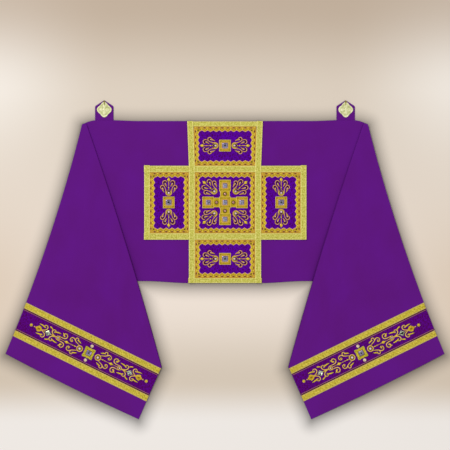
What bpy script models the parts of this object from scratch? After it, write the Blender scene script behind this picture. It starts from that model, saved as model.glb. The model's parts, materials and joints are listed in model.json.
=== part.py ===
"""A humeral veil lying face up, its two ends folded forward at the shoulders.

The veil is one long strip of lined cloth. Its middle lies flat. At each shoulder
the cloth turns back under itself along one line and forward again along another,
so that three layers fan out from the shoulder and the end of the veil slants down
and outwards on top. Sewn to it are a cross of five embroidered panels framed in
galloon, an embroidered band between two galloons near each end, and a pointed tab
with a cast clasp at each shoulder.

Metres, +Z up. The cloth lies on z = 0, X runs along the veil and +Y towards its
upper edge. The origin is the middle of the outline, on the surface it lies on.
"""

import math

import bmesh
import bpy
from mathutils import Vector

# The veil's cloth and how its layers lie on each other
CLOTH = 0.0016
LAYER_GAP = 0.0012
LAYER_STEP = CLOTH + LAYER_GAP
FOLD_RADIUS = LAYER_STEP / 2
SEAM_GAP = 0.0003
EDGE_CLEARANCE = 0.003
SETTLE_LENGTH = 0.080
OVERHANG_SETTLE = 0.040

# Upper and lower edge of the middle, at x = 0 and how they change towards the shoulder
UPPER_EDGE = 0.4853
SHOULDER_RISE = 0.0032
SHOULDER_DROP = 0.0150
RISE_FROM, RISE_TO = 0.300, 0.410
DROP_FROM, DROP_TO = 0.445, 0.499
LOWER_EDGE = -0.0815
LOWER_RISE = 0.0070
LOWER_RISE_FROM, LOWER_RISE_TO = 0.125, 0.280

# Where the two folds of the right shoulder meet the upper and the lower edge
BACK_FOLD_TOP = Vector((0.4945, 0.4765))
BACK_FOLD_LOW = Vector((0.6350, -0.0745))
FRONT_FOLD_TOP = Vector((0.4865, 0.4745))
FRONT_FOLD_LOW = Vector((0.2227, -0.3770))
FRONT_FOLD_BOW = 0.0085

# The end of the veil: its outer edge from the shoulder down, and its hem
SHOULDER_CORNER = Vector((0.4995, 0.4740))
HEM_OUTER = Vector((0.7680, -0.3290))
HEM_INNER = Vector((0.3020, -0.5580))
OUTER_EDGE_FLARE = 0.070
HEM_SHARE = 0.05
HEM_BOW = 0.004

# Trimming of each end, measured up from the hem
HEM_DEPTH = 0.068
GALLOON = 0.022
BAND = 0.083
TRIM_THICK = 0.0010
TRIM_INSET = 0.0006

# The cross, measured from its own centre
CROSS_Y = 0.2005
UPRIGHT_HALF = 0.1290
TOP_FLARE = 0.0035
BAR_HALF_LENGTH = 0.2840
BAR_HALF_HEIGHT = 0.1300
END_GALLOON = 0.0170
BAR_END_GALLOON = 0.0195
CROSS_TOP = UPPER_EDGE - 0.0004
CROSS_LOW = LOWER_EDGE + 0.0004
PANEL_MARGIN = 0.0010
LAP = 0.0060

# Raised embroidery and the stones that sit in it
SETTING = 0.040
SETTING_STEP = 0.0586
LINK_HALF = 0.0165
LINK_SPLAY = 0.0015
LONE_SETTING = 0.0436
RELIEF = 0.0008
STONE = 0.0160
LONE_STONE = 0.0185
STONE_HEIGHT = 0.0030
STONE_TABLE = 0.62
BAND_SETTING = 0.0370
BAND_SETTING_WAIST = 0.0152
BAND_SETTING_ACROSS = 0.516
BAND_STONE = 0.0150

# Tabs and clasps
TAB_X = 0.4235
TAB_HALF = 0.0311
TAB_THICK = 0.0015
TAB_TIP_Y = 0.5580
TAB_SHOULDER_Y = 0.5385
CLASP_Y = 0.5240
CLASP_HALF_WIDTH = 0.0266
CLASP_HALF_HEIGHT = 0.0278
CLASP_LOBE = 0.11
CLASP_THICK = 0.0016
CLASP_BEVEL = 0.86
BOSS_SCALE = 0.5
BOSS_HEIGHT = 0.0012
CLASP_POINTS = 48
HOOK_HALF_WIDTH = 0.0022
HOOK_REACH = 0.0062
HOOK_LENGTH = 0.0090
HOOK_HEIGHT = 0.0010

# How finely the cloth is divided
MIDDLE_COLUMNS = (0.0, 0.28, 0.46, 0.60, 0.68, 0.74, 0.79, 0.84, 0.89, 0.945, 1.0)
FOLD_STEPS = 5
UNDERLAY_COLUMNS = 10
END_COLUMNS = 24
CORNER_SHARE = 1 / END_COLUMNS
INNER_EDGE_SKEW = 1.5
CLOTH_ROWS = 22
ROW_SKEW = 1.3
TRIM_COLUMNS = 18
GALLOON_ROWS = 2
BAND_ROWS = 4


def ease(value):
    """0 below 0, 1 above 1, and a smooth rise between."""
    t = min(max(value, 0.0), 1.0)
    return t * t * (3.0 - 2.0 * t)


def material(name, colour, roughness, metallic=0.0):
    """A plain Principled finish."""
    made = bpy.data.materials.new(name)
    made.use_nodes = True
    shader = made.node_tree.nodes["Principled BSDF"]
    shader.inputs["Base Color"].default_value = (*colour, 1.0)
    shader.inputs["Roughness"].default_value = roughness
    shader.inputs["Metallic"].default_value = metallic
    return made


# The lie of the cloth: its edges, its folds and the height of each layer


def upper_edge_y(x):
    """The middle's upper edge, which rises a little and then drops at the shoulder."""
    rise = SHOULDER_RISE * ease((x - RISE_FROM) / (RISE_TO - RISE_FROM))
    past = max(0.0, (x - DROP_FROM) / (DROP_TO - DROP_FROM))
    return UPPER_EDGE + rise - SHOULDER_DROP * past * past


def lower_edge_y(x):
    """The middle's lower edge, which is a little shorter beside the cross."""
    share = (x - LOWER_RISE_FROM) / (LOWER_RISE_TO - LOWER_RISE_FROM)
    return LOWER_EDGE + LOWER_RISE * ease(share)


def outer_edge(share):
    """Outer edge of the end, from the shoulder corner (0) to the hem (1), flaring on the way."""
    along = HEM_OUTER - SHOULDER_CORNER
    x = SHOULDER_CORNER.x + (along.x - OUTER_EDGE_FLARE) * share + OUTER_EDGE_FLARE * share**2
    return Vector((x, SHOULDER_CORNER.y + along.y * share))


def inner_edge(share):
    """Free inner edge of the end, from the front fold (0) to the hem (1)."""
    return FRONT_FOLD_LOW.lerp(HEM_INNER, share)


def past_back_fold(x, y):
    """Distance beyond the back fold line, positive outside the stack."""
    along = (BACK_FOLD_LOW - BACK_FOLD_TOP).normalized()
    offset = Vector((x, y)) - BACK_FOLD_TOP
    return along.x * offset.y - along.y * offset.x - FOLD_RADIUS - CLOTH / 2


def past_underlay(x, y):
    """Distance below the hidden layer's lower edge, positive where it has ended."""
    along = (FRONT_FOLD_LOW - BACK_FOLD_LOW).normalized()
    offset = Vector((x, y)) - BACK_FOLD_LOW
    return along.x * offset.y - along.y * offset.x


def settled(distance, length):
    """1 on a layer, falling to 0 once the cloth above has come down past its edge."""
    return 1.0 - ease((distance - EDGE_CLEARANCE) / length)


def underlay_height(x, y):
    """Underside of the hidden layer, on the middle and then down past its lower edge."""
    return LAYER_STEP * settled(lower_edge_y(x) - y, SETTLE_LENGTH)


def end_height(x, y):
    """Underside of the end, the top layer, on both layers and then down to the surface."""
    past = settled(past_back_fold(x, y), OVERHANG_SETTLE)
    on_middle = settled(lower_edge_y(x) - y, SETTLE_LENGTH)
    on_underlay = settled(past_underlay(x, y), SETTLE_LENGTH)
    return LAYER_STEP * (on_middle + on_underlay) * past


def across_cloth(top, low, bow, share):
    """Point on a line from the upper to the lower edge of the cloth, bowed towards the middle."""
    return top.lerp(low, share) - Vector((4.0 * bow * share * (1.0 - share), 0.0))


def middle_line(share, row):
    """Share 0 is the centre of the veil and 1 the back fold."""
    top_x = BACK_FOLD_TOP.x * share
    low_x = BACK_FOLD_LOW.x * share
    top = Vector((top_x, upper_edge_y(top_x)))
    low = Vector((low_x, lower_edge_y(low_x)))
    return across_cloth(top, low, 0.0, row), 0.0


def underlay_line(share, row):
    """The hidden layer, from the back fold (0) to the front fold (1)."""
    start = Vector((BACK_FOLD_TOP.x, upper_edge_y(BACK_FOLD_TOP.x)))
    top = start.lerp(FRONT_FOLD_TOP, share)
    low = BACK_FOLD_LOW.lerp(FRONT_FOLD_LOW, share)
    point = across_cloth(top, low, FRONT_FOLD_BOW * share, row)
    return point, underlay_height(*point)


def end_line(share, row):
    """The end of the veil, from the front fold (0) round the shoulder corner to the hem (1)."""
    if share < CORNER_SHARE:
        top = FRONT_FOLD_TOP.lerp(SHOULDER_CORNER, share / CORNER_SHARE)
    else:
        top = outer_edge((share - CORNER_SHARE) / (1.0 - CORNER_SHARE))
    low = inner_edge(share**INNER_EDGE_SKEW)
    point = across_cloth(top, low, FRONT_FOLD_BOW * (1.0 - share), row)
    hem = HEM_OUTER - HEM_INNER
    outward = Vector((hem.y, -hem.x)).normalized()
    point += outward * HEM_BOW * 4.0 * row * (1.0 - row) * ease(share * 4.0 - 3.0)
    return point, end_height(*point)


def turned(line, share, row, outward, angle):
    """A point on a fold: the line moved round a half turn that starts flat at angle 0."""
    point, height = line(share, row)
    return point + outward * FOLD_RADIUS * math.sin(angle), height + FOLD_RADIUS * (1.0 - math.cos(angle))


def fold_columns(line, share, outward):
    """One column for each step round a fold, between the two layers that it joins."""
    angles = [math.pi * step / FOLD_STEPS for step in range(1, FOLD_STEPS)]
    return [lambda row, angle=angle: turned(line, share, row, outward, angle) for angle in angles]


def cloth_columns():
    """The half veil as columns from its centre line to its hem, each a function of the row."""
    back_along = BACK_FOLD_LOW - BACK_FOLD_TOP
    front_along = FRONT_FOLD_LOW - FRONT_FOLD_TOP
    back_out = Vector((-back_along.y, back_along.x)).normalized()
    front_out = Vector((front_along.y, -front_along.x)).normalized()
    columns = [lambda row, share=share: middle_line(share, row) for share in MIDDLE_COLUMNS]
    columns += fold_columns(middle_line, 1.0, back_out)
    for step in range(UNDERLAY_COLUMNS + 1):
        columns.append(lambda row, share=step / UNDERLAY_COLUMNS: underlay_line(share, row))
    columns += fold_columns(underlay_line, 1.0, front_out)
    for step in range(END_COLUMNS + 1):
        columns.append(lambda row, share=step / END_COLUMNS: end_line(share, row))
    return columns


# Shapes that several pieces share


def finish(obj, name, finish_material):
    """Names a piece, gives it its material and puts it in the veil's collection."""
    obj.name = name
    obj.data.name = name
    obj.data.materials.clear()
    obj.data.materials.append(finish_material)
    for collection in list(obj.users_collection):
        collection.objects.unlink(obj)
    bpy.data.collections["humeral_veil"].objects.link(obj)
    return obj


def laid_sheet(name, columns, rows, place, thickness, finish_material):
    """A flat grid of cloth, laid in place point by point and given its thickness."""
    bpy.ops.mesh.primitive_grid_add(x_subdivisions=columns, y_subdivisions=rows, size=2.0)
    sheet = bpy.context.object
    for vertex in sheet.data.vertices:
        column = round((vertex.co.x + 1.0) / 2.0 * columns)
        row = round((vertex.co.y + 1.0) / 2.0 * rows)
        vertex.co = place(column, row)
    solidify = sheet.modifiers.new("thickness", "SOLIDIFY")
    solidify.thickness = thickness
    solidify.offset = 0.0
    return finish(sheet, name, finish_material)


def flat_outline(name, points, low, thickness, finish_material):
    """A flat piece cut to an outline, from height low upwards."""
    curve = bpy.data.curves.new(name, "CURVE")
    curve.dimensions = "2D"
    curve.fill_mode = "BOTH"
    curve.extrude = thickness / 2
    spline = curve.splines.new("POLY")
    spline.points.add(len(points) - 1)
    for corner, (x, y) in zip(spline.points, points):
        corner.co = (x, y, 0.0, 1.0)
    spline.use_cyclic_u = True
    drawn = bpy.data.objects.new(name, curve)
    bpy.context.scene.collection.objects.link(drawn)
    drawn.location.z = low + thickness / 2
    bpy.context.view_layer.update()
    graph = bpy.context.evaluated_depsgraph_get()
    mesh = bpy.data.meshes.new_from_object(drawn.evaluated_get(graph))
    mesh.transform(drawn.matrix_world)
    bpy.data.objects.remove(drawn)
    welded = bmesh.new()
    welded.from_mesh(mesh)
    bmesh.ops.remove_doubles(welded, verts=welded.verts, dist=0.00001)
    welded.to_mesh(mesh)
    welded.free()
    cut = bpy.data.objects.new(name, mesh)
    bpy.context.scene.collection.objects.link(cut)
    return finish(cut, name, finish_material)


def raise_relief(piece, label, outline, low, height):
    """Joins a raised form to a piece, as dense embroidery stands on its ground."""
    relief = flat_outline(f"{piece.name}_{label}", outline, low, height, piece.data.materials[0])
    bpy.data.collections["humeral_veil"].objects.unlink(relief)
    bpy.data.collections["cutters"].objects.link(relief)
    relief.hide_render = True
    relief.display_type = "WIRE"
    union = piece.modifiers.new(label, "BOOLEAN")
    union.operation = "UNION"
    union.object = relief


def quarter_turns(points):
    """An outline that repeats at each quarter turn."""
    turned_points = []
    for _ in range(4):
        turned_points += points
        points = [(-y, x) for x, y in points]
    return turned_points


def shifted(points, x, y, angle=0.0):
    """An outline turned by angle and moved to its place."""
    c, s = math.cos(angle), math.sin(angle)
    return [(x + c * px - s * py, y + s * px + c * py) for px, py in points]


def square(half):
    """A square outline about its own centre."""
    return [(half, half), (-half, half), (-half, -half), (half, -half)]


# The cloth and what is sewn to its middle


def veil(cloth):
    """The strip of cloth itself: one sheet, folded at both shoulders."""
    columns = cloth_columns()

    def place(column, row):
        point, height = columns[column]((row / CLOTH_ROWS) ** ROW_SKEW)
        return Vector((point.x, point.y, height + CLOTH / 2))

    sheet = laid_sheet("veil", len(columns) - 1, CLOTH_ROWS, place, CLOTH, cloth)
    mirror = sheet.modifiers.new("other_half", "MIRROR")
    mirror.merge_threshold = 0.00001
    sheet.modifiers.move(1, 0)
    return sheet


def panel(name, left, right, low, high, motif, ground):
    """One embroidered panel with its raised motif."""
    base = CLOTH + SEAM_GAP
    corners = [(right, high), (left, high), (left, low), (right, low)]
    sheet = flat_outline(name, corners, base, TRIM_THICK, ground)
    raise_relief(sheet, "motif", motif, base + TRIM_THICK / 2, TRIM_THICK / 2 + RELIEF)
    return sheet


def jewelled_cross():
    """Outline of the cross of five settings joined by four links."""
    half, inner = SETTING / 2, SETTING_STEP - SETTING / 2
    outer = SETTING_STEP + SETTING / 2
    start, end = half + LINK_SPLAY, inner - LINK_SPLAY
    arm = [(half, half), (LINK_HALF, start), (LINK_HALF, end), (half, inner), (half, outer)]
    other_side = [(-half, outer), (-half, inner), (-LINK_HALF, end), (-LINK_HALF, start)]
    return quarter_turns(arm + other_side)


def panel_places():
    """Name and centre of each outer panel, where its lone setting is."""
    beside = (UPRIGHT_HALF + BAR_HALF_LENGTH - BAR_END_GALLOON) / 2
    top = (CROSS_Y + BAR_HALF_HEIGHT + CROSS_TOP - END_GALLOON) / 2
    low = (CROSS_Y - BAR_HALF_HEIGHT + CROSS_LOW + END_GALLOON) / 2
    return {"top": (0.0, top), "bottom": (0.0, low), "left": (-beside, CROSS_Y), "right": (beside, CROSS_Y)}


def panels(ground):
    """Five panels laid edge to edge, with the joins under the middle of the galloons."""
    join_x = UPRIGHT_HALF - GALLOON / 2
    join_y = BAR_HALF_HEIGHT - GALLOON / 2
    gap = SEAM_GAP
    high, low = CROSS_Y + join_y, CROSS_Y - join_y
    side = UPRIGHT_HALF - PANEL_MARGIN
    end = BAR_HALF_LENGTH - PANEL_MARGIN
    lone = square(LONE_SETTING / 2)
    at = panel_places()
    middle = shifted(jewelled_cross(), 0.0, CROSS_Y)
    panel("panel_middle", -join_x, join_x, low, high, middle, ground)
    panel("panel_top", -side, side, high + gap, CROSS_TOP - PANEL_MARGIN, shifted(lone, *at["top"]), ground)
    panel("panel_bottom", -side, side, CROSS_LOW + PANEL_MARGIN, low - gap, shifted(lone, *at["bottom"]), ground)
    for name, sign in (("left", -1), ("right", 1)):
        near, far = sign * (join_x + gap), sign * end
        left, right = min(near, far), max(near, far)
        panel(f"panel_{name}", left, right, low, high, shifted(lone, *at[name]), ground)


def level_galloons(gold):
    """The galloons that run along the veil: two across the bar and one at each end of the upright."""
    base = CLOTH + 2 * SEAM_GAP + TRIM_THICK
    bar_high, bar_low = CROSS_Y + BAR_HALF_HEIGHT, CROSS_Y - BAR_HALF_HEIGHT
    rows = (
        ("galloon_level_top", UPRIGHT_HALF + TOP_FLARE, CROSS_TOP - END_GALLOON, CROSS_TOP),
        ("galloon_level_upper", BAR_HALF_LENGTH, bar_high - GALLOON, bar_high),
        ("galloon_level_lower", BAR_HALF_LENGTH, bar_low, bar_low + GALLOON),
        ("galloon_level_bottom", UPRIGHT_HALF, CROSS_LOW, CROSS_LOW + END_GALLOON),
    )
    for name, half_length, low, high in rows:
        inset = half_length - TRIM_INSET
        corners = [(inset, high), (-inset, high), (-inset, low), (inset, low)]
        flat_outline(name, corners, base, TRIM_THICK, gold)
    return [(low, high) for _, _, low, high in rows]


def upright_galloon(name, inner, outer, low, high, crossed, gold):
    """A galloon across the veil that passes over each level one, with a low hump there."""
    base = CLOTH + 2 * SEAM_GAP + TRIM_THICK
    hump = TRIM_THICK + SEAM_GAP
    stations = {low: 0.0, high: 0.0}
    for under_low, under_high in crossed:
        if under_high < low or under_low > high:
            continue
        for y, lift in (
            (under_low - LAP, 0.0),
            (under_low - PANEL_MARGIN, hump),
            (under_high + PANEL_MARGIN, hump),
            (under_high + LAP, 0.0),
        ):
            if low < y < high:
                stations[y] = lift
        for end in (low, high):
            if under_low - PANEL_MARGIN <= end <= under_high + PANEL_MARGIN:
                stations[end] = hump
    heights = sorted(stations.items())
    bar_high = CROSS_Y + BAR_HALF_HEIGHT
    flared = abs(outer) < BAR_HALF_LENGTH - GALLOON

    def place(column, row):
        y, lift = heights[row]
        flare = TOP_FLARE * ease((y - bar_high) / (CROSS_TOP - bar_high)) if flared else 0.0
        x = (outer if column else inner) + math.copysign(flare, outer)
        return Vector((x, y, base + TRIM_THICK / 2 + lift))

    laid_sheet(name, 1, len(heights) - 1, place, TRIM_THICK, gold)


def upright_galloons(crossed, gold):
    """Two long galloons up the cross and a short one at each end of the bar."""
    bar_low, bar_high = CROSS_Y - BAR_HALF_HEIGHT, CROSS_Y + BAR_HALF_HEIGHT
    for side, sign in (("left", -1), ("right", 1)):
        outer = sign * UPRIGHT_HALF
        inner = sign * (UPRIGHT_HALF - GALLOON)
        upright_galloon(f"galloon_upright_{side}", inner, outer, CROSS_LOW, CROSS_TOP, crossed, gold)
        outer = sign * BAR_HALF_LENGTH
        inner = sign * (BAR_HALF_LENGTH - BAR_END_GALLOON)
        upright_galloon(f"galloon_bar_end_{side}", inner, outer, bar_low, bar_high, crossed, gold)


def stone(name, x, y, low, size, glass, angle=0.0):
    """A square stone with sloping sides and a flat table."""
    turn = angle + math.pi / 4
    middle = (x, y, low + STONE_HEIGHT / 2)
    bpy.ops.mesh.primitive_cone_add(
        vertices=4,
        radius1=size / math.sqrt(2.0),
        radius2=size * STONE_TABLE / math.sqrt(2.0),
        depth=STONE_HEIGHT,
        location=middle,
        rotation=(0.0, 0.0, turn),
    )
    return finish(bpy.context.object, name, glass)


def cross_stones(glass):
    """Five stones on the cross and one in each lone setting."""
    low = CLOTH + 2 * SEAM_GAP + TRIM_THICK + RELIEF
    steps = {"centre": (0, 0), "north": (0, 1), "south": (0, -1), "west": (-1, 0), "east": (1, 0)}
    for name, (right, up) in steps.items():
        place = (right * SETTING_STEP, CROSS_Y + up * SETTING_STEP)
        stone(f"stone_{name}", *place, low, STONE, glass)
    for name, place in panel_places().items():
        stone(f"stone_{name}", *place, low, LONE_STONE, glass)


# The trimming of each end


def end_patch(side, across, up):
    """A point on the end: across from its outer edge (0) to its inner edge (1), up from the hem."""
    slope = outer_edge(1.0) - outer_edge(1.0 - HEM_SHARE)
    outer = outer_edge(1.0 - up * HEM_SHARE / slope.length)
    inner = inner_edge(1.0 - up / (HEM_INNER - FRONT_FOLD_LOW).length)
    width = (inner - outer).length
    share = (TRIM_INSET + across * (width - 2 * TRIM_INSET)) / width
    point = outer.lerp(inner, share)
    return Vector((side * point.x, point.y, end_height(point.x, point.y) + CLOTH))


def end_strip(name, side, low, high, rows, finish_material):
    """A strip of trimming laid along the end, from low to high above the hem."""
    lift = Vector((0.0, 0.0, SEAM_GAP + TRIM_THICK / 2))

    def place(column, row):
        up = low + (high - low) * row / rows
        return end_patch(side, column / TRIM_COLUMNS, up) + lift

    return laid_sheet(name, TRIM_COLUMNS, rows, place, TRIM_THICK, finish_material)


def end_trimming(side_name, side, ground, gold, glass):
    """Two galloons with the embroidered band between them, and the band's centre stone."""
    first = HEM_DEPTH
    second = first + GALLOON
    third = second + BAND
    gap = SEAM_GAP
    end_strip(f"galloon_{side_name}_lower", side, first, second - gap, GALLOON_ROWS, gold)
    end_strip(f"galloon_{side_name}_upper", side, third + gap, third + GALLOON, GALLOON_ROWS, gold)
    band = end_strip(f"band_{side_name}", side, second, third, BAND_ROWS, ground)
    centre = end_patch(side, BAND_SETTING_ACROSS, second + BAND / 2)
    beside = end_patch(side, 1.0, second + BAND / 2)
    angle = math.atan2(beside.y - centre.y, beside.x - centre.x)
    star = quarter_turns([(BAND_SETTING / 2, BAND_SETTING / 2), (0.0, BAND_SETTING_WAIST)])
    setting = shifted(star, centre.x, centre.y, angle)
    top = centre.z + SEAM_GAP + TRIM_THICK
    raise_relief(band, "setting", setting, top - TRIM_THICK / 2, TRIM_THICK / 2 + RELIEF)
    stone(f"stone_band_{side_name}", centre.x, centre.y, top + RELIEF + SEAM_GAP, BAND_STONE, glass, angle)


# Tabs and clasps


def tab(side_name, side, cloth):
    """A pointed tab, its square end against the upper edge of the veil."""
    x = side * TAB_X
    low = upper_edge_y(TAB_X) + SEAM_GAP
    corners = [
        (x + TAB_HALF, low),
        (x + TAB_HALF, TAB_SHOULDER_Y),
        (x, TAB_TIP_Y),
        (x - TAB_HALF, TAB_SHOULDER_Y),
        (x - TAB_HALF, low),
    ]
    flat_outline(f"tab_{side_name}", corners, 0.0, TAB_THICK, cloth)


def clasp_point(x, angle, scale):
    """A point on the outline of the clasp, a lozenge with four soft lobes, or on a smaller one inside it."""
    reach = scale * (1.0 + CLASP_LOBE * math.cos(4.0 * angle)) / (1.0 + CLASP_LOBE)
    return x + CLASP_HALF_WIDTH * reach * math.cos(angle), CLASP_Y + CLASP_HALF_HEIGHT * reach * math.sin(angle)


def clasp(side_name, side, metal):
    """A cast plate with a sloping rim, a raised boss, and a small hook over its upper point."""
    x = side * TAB_X
    base = TAB_THICK + SEAM_GAP
    bpy.ops.mesh.primitive_cone_add(vertices=CLASP_POINTS, radius1=1.0, radius2=CLASP_BEVEL, depth=1.0)
    plate = bpy.context.object
    for vertex in plate.data.vertices:
        scale = math.hypot(vertex.co.x, vertex.co.y)
        height = CLASP_THICK if vertex.co.z > 0.0 else 0.0
        angle = math.atan2(vertex.co.y, vertex.co.x)
        vertex.co = (*clasp_point(x, angle, scale), base + height)
    finish(plate, f"clasp_{side_name}", metal)
    turns = [2.0 * math.pi * step / CLASP_POINTS for step in range(CLASP_POINTS)]
    boss = [clasp_point(x, angle, BOSS_SCALE) for angle in turns]
    inside = base + CLASP_THICK / 2
    raise_relief(plate, "boss", boss, inside, CLASP_THICK / 2 + BOSS_HEIGHT)
    tip = CLASP_Y + CLASP_HALF_HEIGHT
    left, right = x - HOOK_HALF_WIDTH, x + HOOK_HALF_WIDTH
    high, low = tip + HOOK_REACH, tip - HOOK_LENGTH
    hook = [(right, high), (left, high), (left, low), (right, low)]
    raise_relief(plate, "hook", hook, inside, CLASP_THICK / 2 + HOOK_HEIGHT)


def main():
    for obj in list(bpy.data.objects):
        bpy.data.objects.remove(obj)
    for name in ("humeral_veil", "cutters"):
        collection = bpy.data.collections.new(name)
        bpy.context.scene.collection.children.link(collection)

    purple = material("purple_cloth", (0.108, 0.010, 0.212), 0.55)
    ground = material("panel_ground", (0.090, 0.002, 0.227), 0.60)
    band_ground = material("band_ground", (0.090, 0.004, 0.150), 0.60)
    gold = material("gold_galloon", (0.560, 0.480, 0.110), 0.42, 0.35)
    metal = material("pale_gold_metal", (0.760, 0.700, 0.420), 0.28, 1.0)
    glass = material("stone_glass", (0.420, 0.430, 0.620), 0.10)

    veil(purple)
    panels(ground)
    crossed = level_galloons(gold)
    upright_galloons(crossed, gold)
    cross_stones(glass)
    for side_name, side in (("left", -1), ("right", 1)):
        end_trimming(side_name, side, band_ground, gold, glass)
        tab(side_name, side, purple)
        clasp(side_name, side, metal)


main()
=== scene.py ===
# %% [markdown]
# A humeral veil, laid face up with its two ends folded forward.
#
# The imported model is a fixed frame: it says where every piece is, in metres, with +Z up
# and the cloth lying on z = 0. This lesson dresses it. The cloth is laid again as one fine
# sheet, and the galloon, the embroidery, the stones and the clasps are modelled as a maker
# would see them close by. It begins by loading the frame.

# %% Load the imported model
import json
import math

import bpy
from mathutils import Matrix, Vector, noise
from mathutils.bvhtree import BVHTree

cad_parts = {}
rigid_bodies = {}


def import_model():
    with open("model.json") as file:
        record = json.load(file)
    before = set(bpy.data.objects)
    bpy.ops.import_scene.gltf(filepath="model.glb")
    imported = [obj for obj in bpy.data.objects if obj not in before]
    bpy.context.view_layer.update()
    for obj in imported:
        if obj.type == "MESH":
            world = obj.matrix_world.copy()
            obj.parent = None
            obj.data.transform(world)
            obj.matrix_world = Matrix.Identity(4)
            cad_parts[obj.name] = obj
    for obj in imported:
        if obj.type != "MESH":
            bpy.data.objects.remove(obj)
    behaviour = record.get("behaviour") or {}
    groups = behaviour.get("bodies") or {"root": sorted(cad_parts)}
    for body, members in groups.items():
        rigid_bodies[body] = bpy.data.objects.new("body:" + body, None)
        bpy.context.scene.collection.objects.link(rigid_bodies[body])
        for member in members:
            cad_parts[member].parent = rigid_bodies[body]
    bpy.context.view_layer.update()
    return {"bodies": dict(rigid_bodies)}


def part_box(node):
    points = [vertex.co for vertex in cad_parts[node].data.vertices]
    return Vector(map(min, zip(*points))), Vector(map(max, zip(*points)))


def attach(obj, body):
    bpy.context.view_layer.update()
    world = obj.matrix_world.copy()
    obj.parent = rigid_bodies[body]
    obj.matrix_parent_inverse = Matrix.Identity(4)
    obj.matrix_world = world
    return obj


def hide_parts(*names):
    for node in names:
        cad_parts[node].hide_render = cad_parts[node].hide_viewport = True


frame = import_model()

MM = 0.001
ROOT = next(iter(frame["bodies"]))

# %% [markdown]
# Operators act on whatever is selected, so each step begins by choosing its own objects.
# These helpers choose objects, apply modifiers, join pieces, and place a copy that has its
# own mesh. A copy that is mirrored is inside out until its faces are flipped.

# %% Choose, apply, join and copy
def pick(*objects):
    """Selects these objects and nothing else, with the last one active."""
    bpy.ops.object.select_all(action="DESELECT")
    for obj in objects:
        obj.select_set(True)
    bpy.context.view_layer.objects.active = objects[-1]


def apply_modifiers(obj):
    """Applies every modifier of the object in its order."""
    pick(obj)
    for modifier in list(obj.modifiers):
        bpy.ops.object.modifier_apply(modifier=modifier.name)
    return obj


def joined(pieces):
    """One object made of several."""
    pick(*pieces)
    bpy.ops.object.join()
    return bpy.context.object


def copied(obj, place):
    """A copy with its own mesh, moved by the matrix place."""
    twin = obj.copy()
    twin.data = obj.data.copy()
    bpy.context.scene.collection.objects.link(twin)
    twin.data.transform(place)
    if place.determinant() < 0.0:
        twin.data.flip_normals()
    return twin


def dressed(obj, name, slot, *stands_for):
    """Names a finished piece, rides it on the veil and hides the nodes it stands for."""
    obj.name = name
    obj.data.name = name
    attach(obj, ROOT)
    if stands_for:
        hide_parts(*stands_for)
    return obj


print("helpers ready")

# %% [markdown]
# Thread is what most of this object is made of, and thread shows as fine parallel lines:
# across a satin stitch, slanting round a twisted cord, or crossing in a weave. One shader
# group draws all three from a surface's own UV map, which is in metres. It is given how many
# lines there are to a metre along U and along V, and how far they wander.

# %% A group that draws threads
def new_group(name, inputs, outputs):
    """An empty shader group with named sockets, its input node and its output node."""
    group = bpy.data.node_groups.new(name, "ShaderNodeTree")
    for label, kind, value in inputs:
        socket = group.interface.new_socket(label, in_out="INPUT", socket_type=kind)
        if value is not None:
            socket.default_value = value
    for label, kind in outputs:
        group.interface.new_socket(label, in_out="OUTPUT", socket_type=kind)
    return group, group.nodes.new("NodeGroupInput"), group.nodes.new("NodeGroupOutput")


def feed(tree, socket, value):
    """Sets a socket to a plain value, or links another socket to it."""
    if isinstance(value, bpy.types.NodeSocket):
        tree.links.new(value, socket)
    else:
        socket.default_value = value


def calculated(tree, operation, *values):
    """The output of a Math node."""
    node = tree.nodes.new("ShaderNodeMath")
    node.operation = operation
    for socket, value in zip(node.inputs, values):
        feed(tree, socket, value)
    return node.outputs[0]


def noise_value(tree, coordinates, scale, detail):
    """The value of a Noise texture, about one half on average."""
    node = tree.nodes.new("ShaderNodeTexNoise")
    feed(tree, node.inputs["Vector"], coordinates)
    feed(tree, node.inputs["Scale"], scale)
    node.inputs["Detail"].default_value = detail
    return node.outputs[0]


def make_thread_lines():
    """Parallel threads, as a height from 0 between them to 1 on top of them."""
    inputs = (
        ("Coordinates", "NodeSocketVector", None),
        ("Lines along U", "NodeSocketFloat", 1000.0),
        ("Lines along V", "NodeSocketFloat", 0.0),
        ("Wander", "NodeSocketFloat", 0.5),
    )
    group, given, result = new_group("thread_lines", inputs, (("Height", "NodeSocketFloat"),))
    split = group.nodes.new("ShaderNodeSeparateXYZ")
    group.links.new(given.outputs["Coordinates"], split.inputs[0])
    along = calculated(group, "MULTIPLY", split.outputs["X"], given.outputs["Lines along U"])
    across = calculated(group, "MULTIPLY", split.outputs["Y"], given.outputs["Lines along V"])
    stray = noise_value(group, given.outputs["Coordinates"], 160.0, 2.0)
    stray = calculated(group, "MULTIPLY", stray, given.outputs["Wander"])
    lines = calculated(group, "ADD", calculated(group, "ADD", along, across), stray)
    wave = calculated(group, "SINE", calculated(group, "MULTIPLY", lines, 2.0 * math.pi))
    height = calculated(group, "MULTIPLY_ADD", wave, 0.5, 0.5)
    group.links.new(height, result.inputs["Height"])
    return group


THREAD_LINES = make_thread_lines()
print("group", THREAD_LINES.name)

# %% [markdown]
# Real thread is never one colour. Dye, wear and the angle of each stitch make it cloudy from
# a hand's width down to a few threads. The second group clouds a colour at two scales, broad
# and fine, and every finish is given its own amounts of each. Where thread goes darker it also
# goes deeper in colour, so the blue in it falls faster than the rest.

# %% A group that clouds a colour
DEEPENING = 3.0


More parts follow.
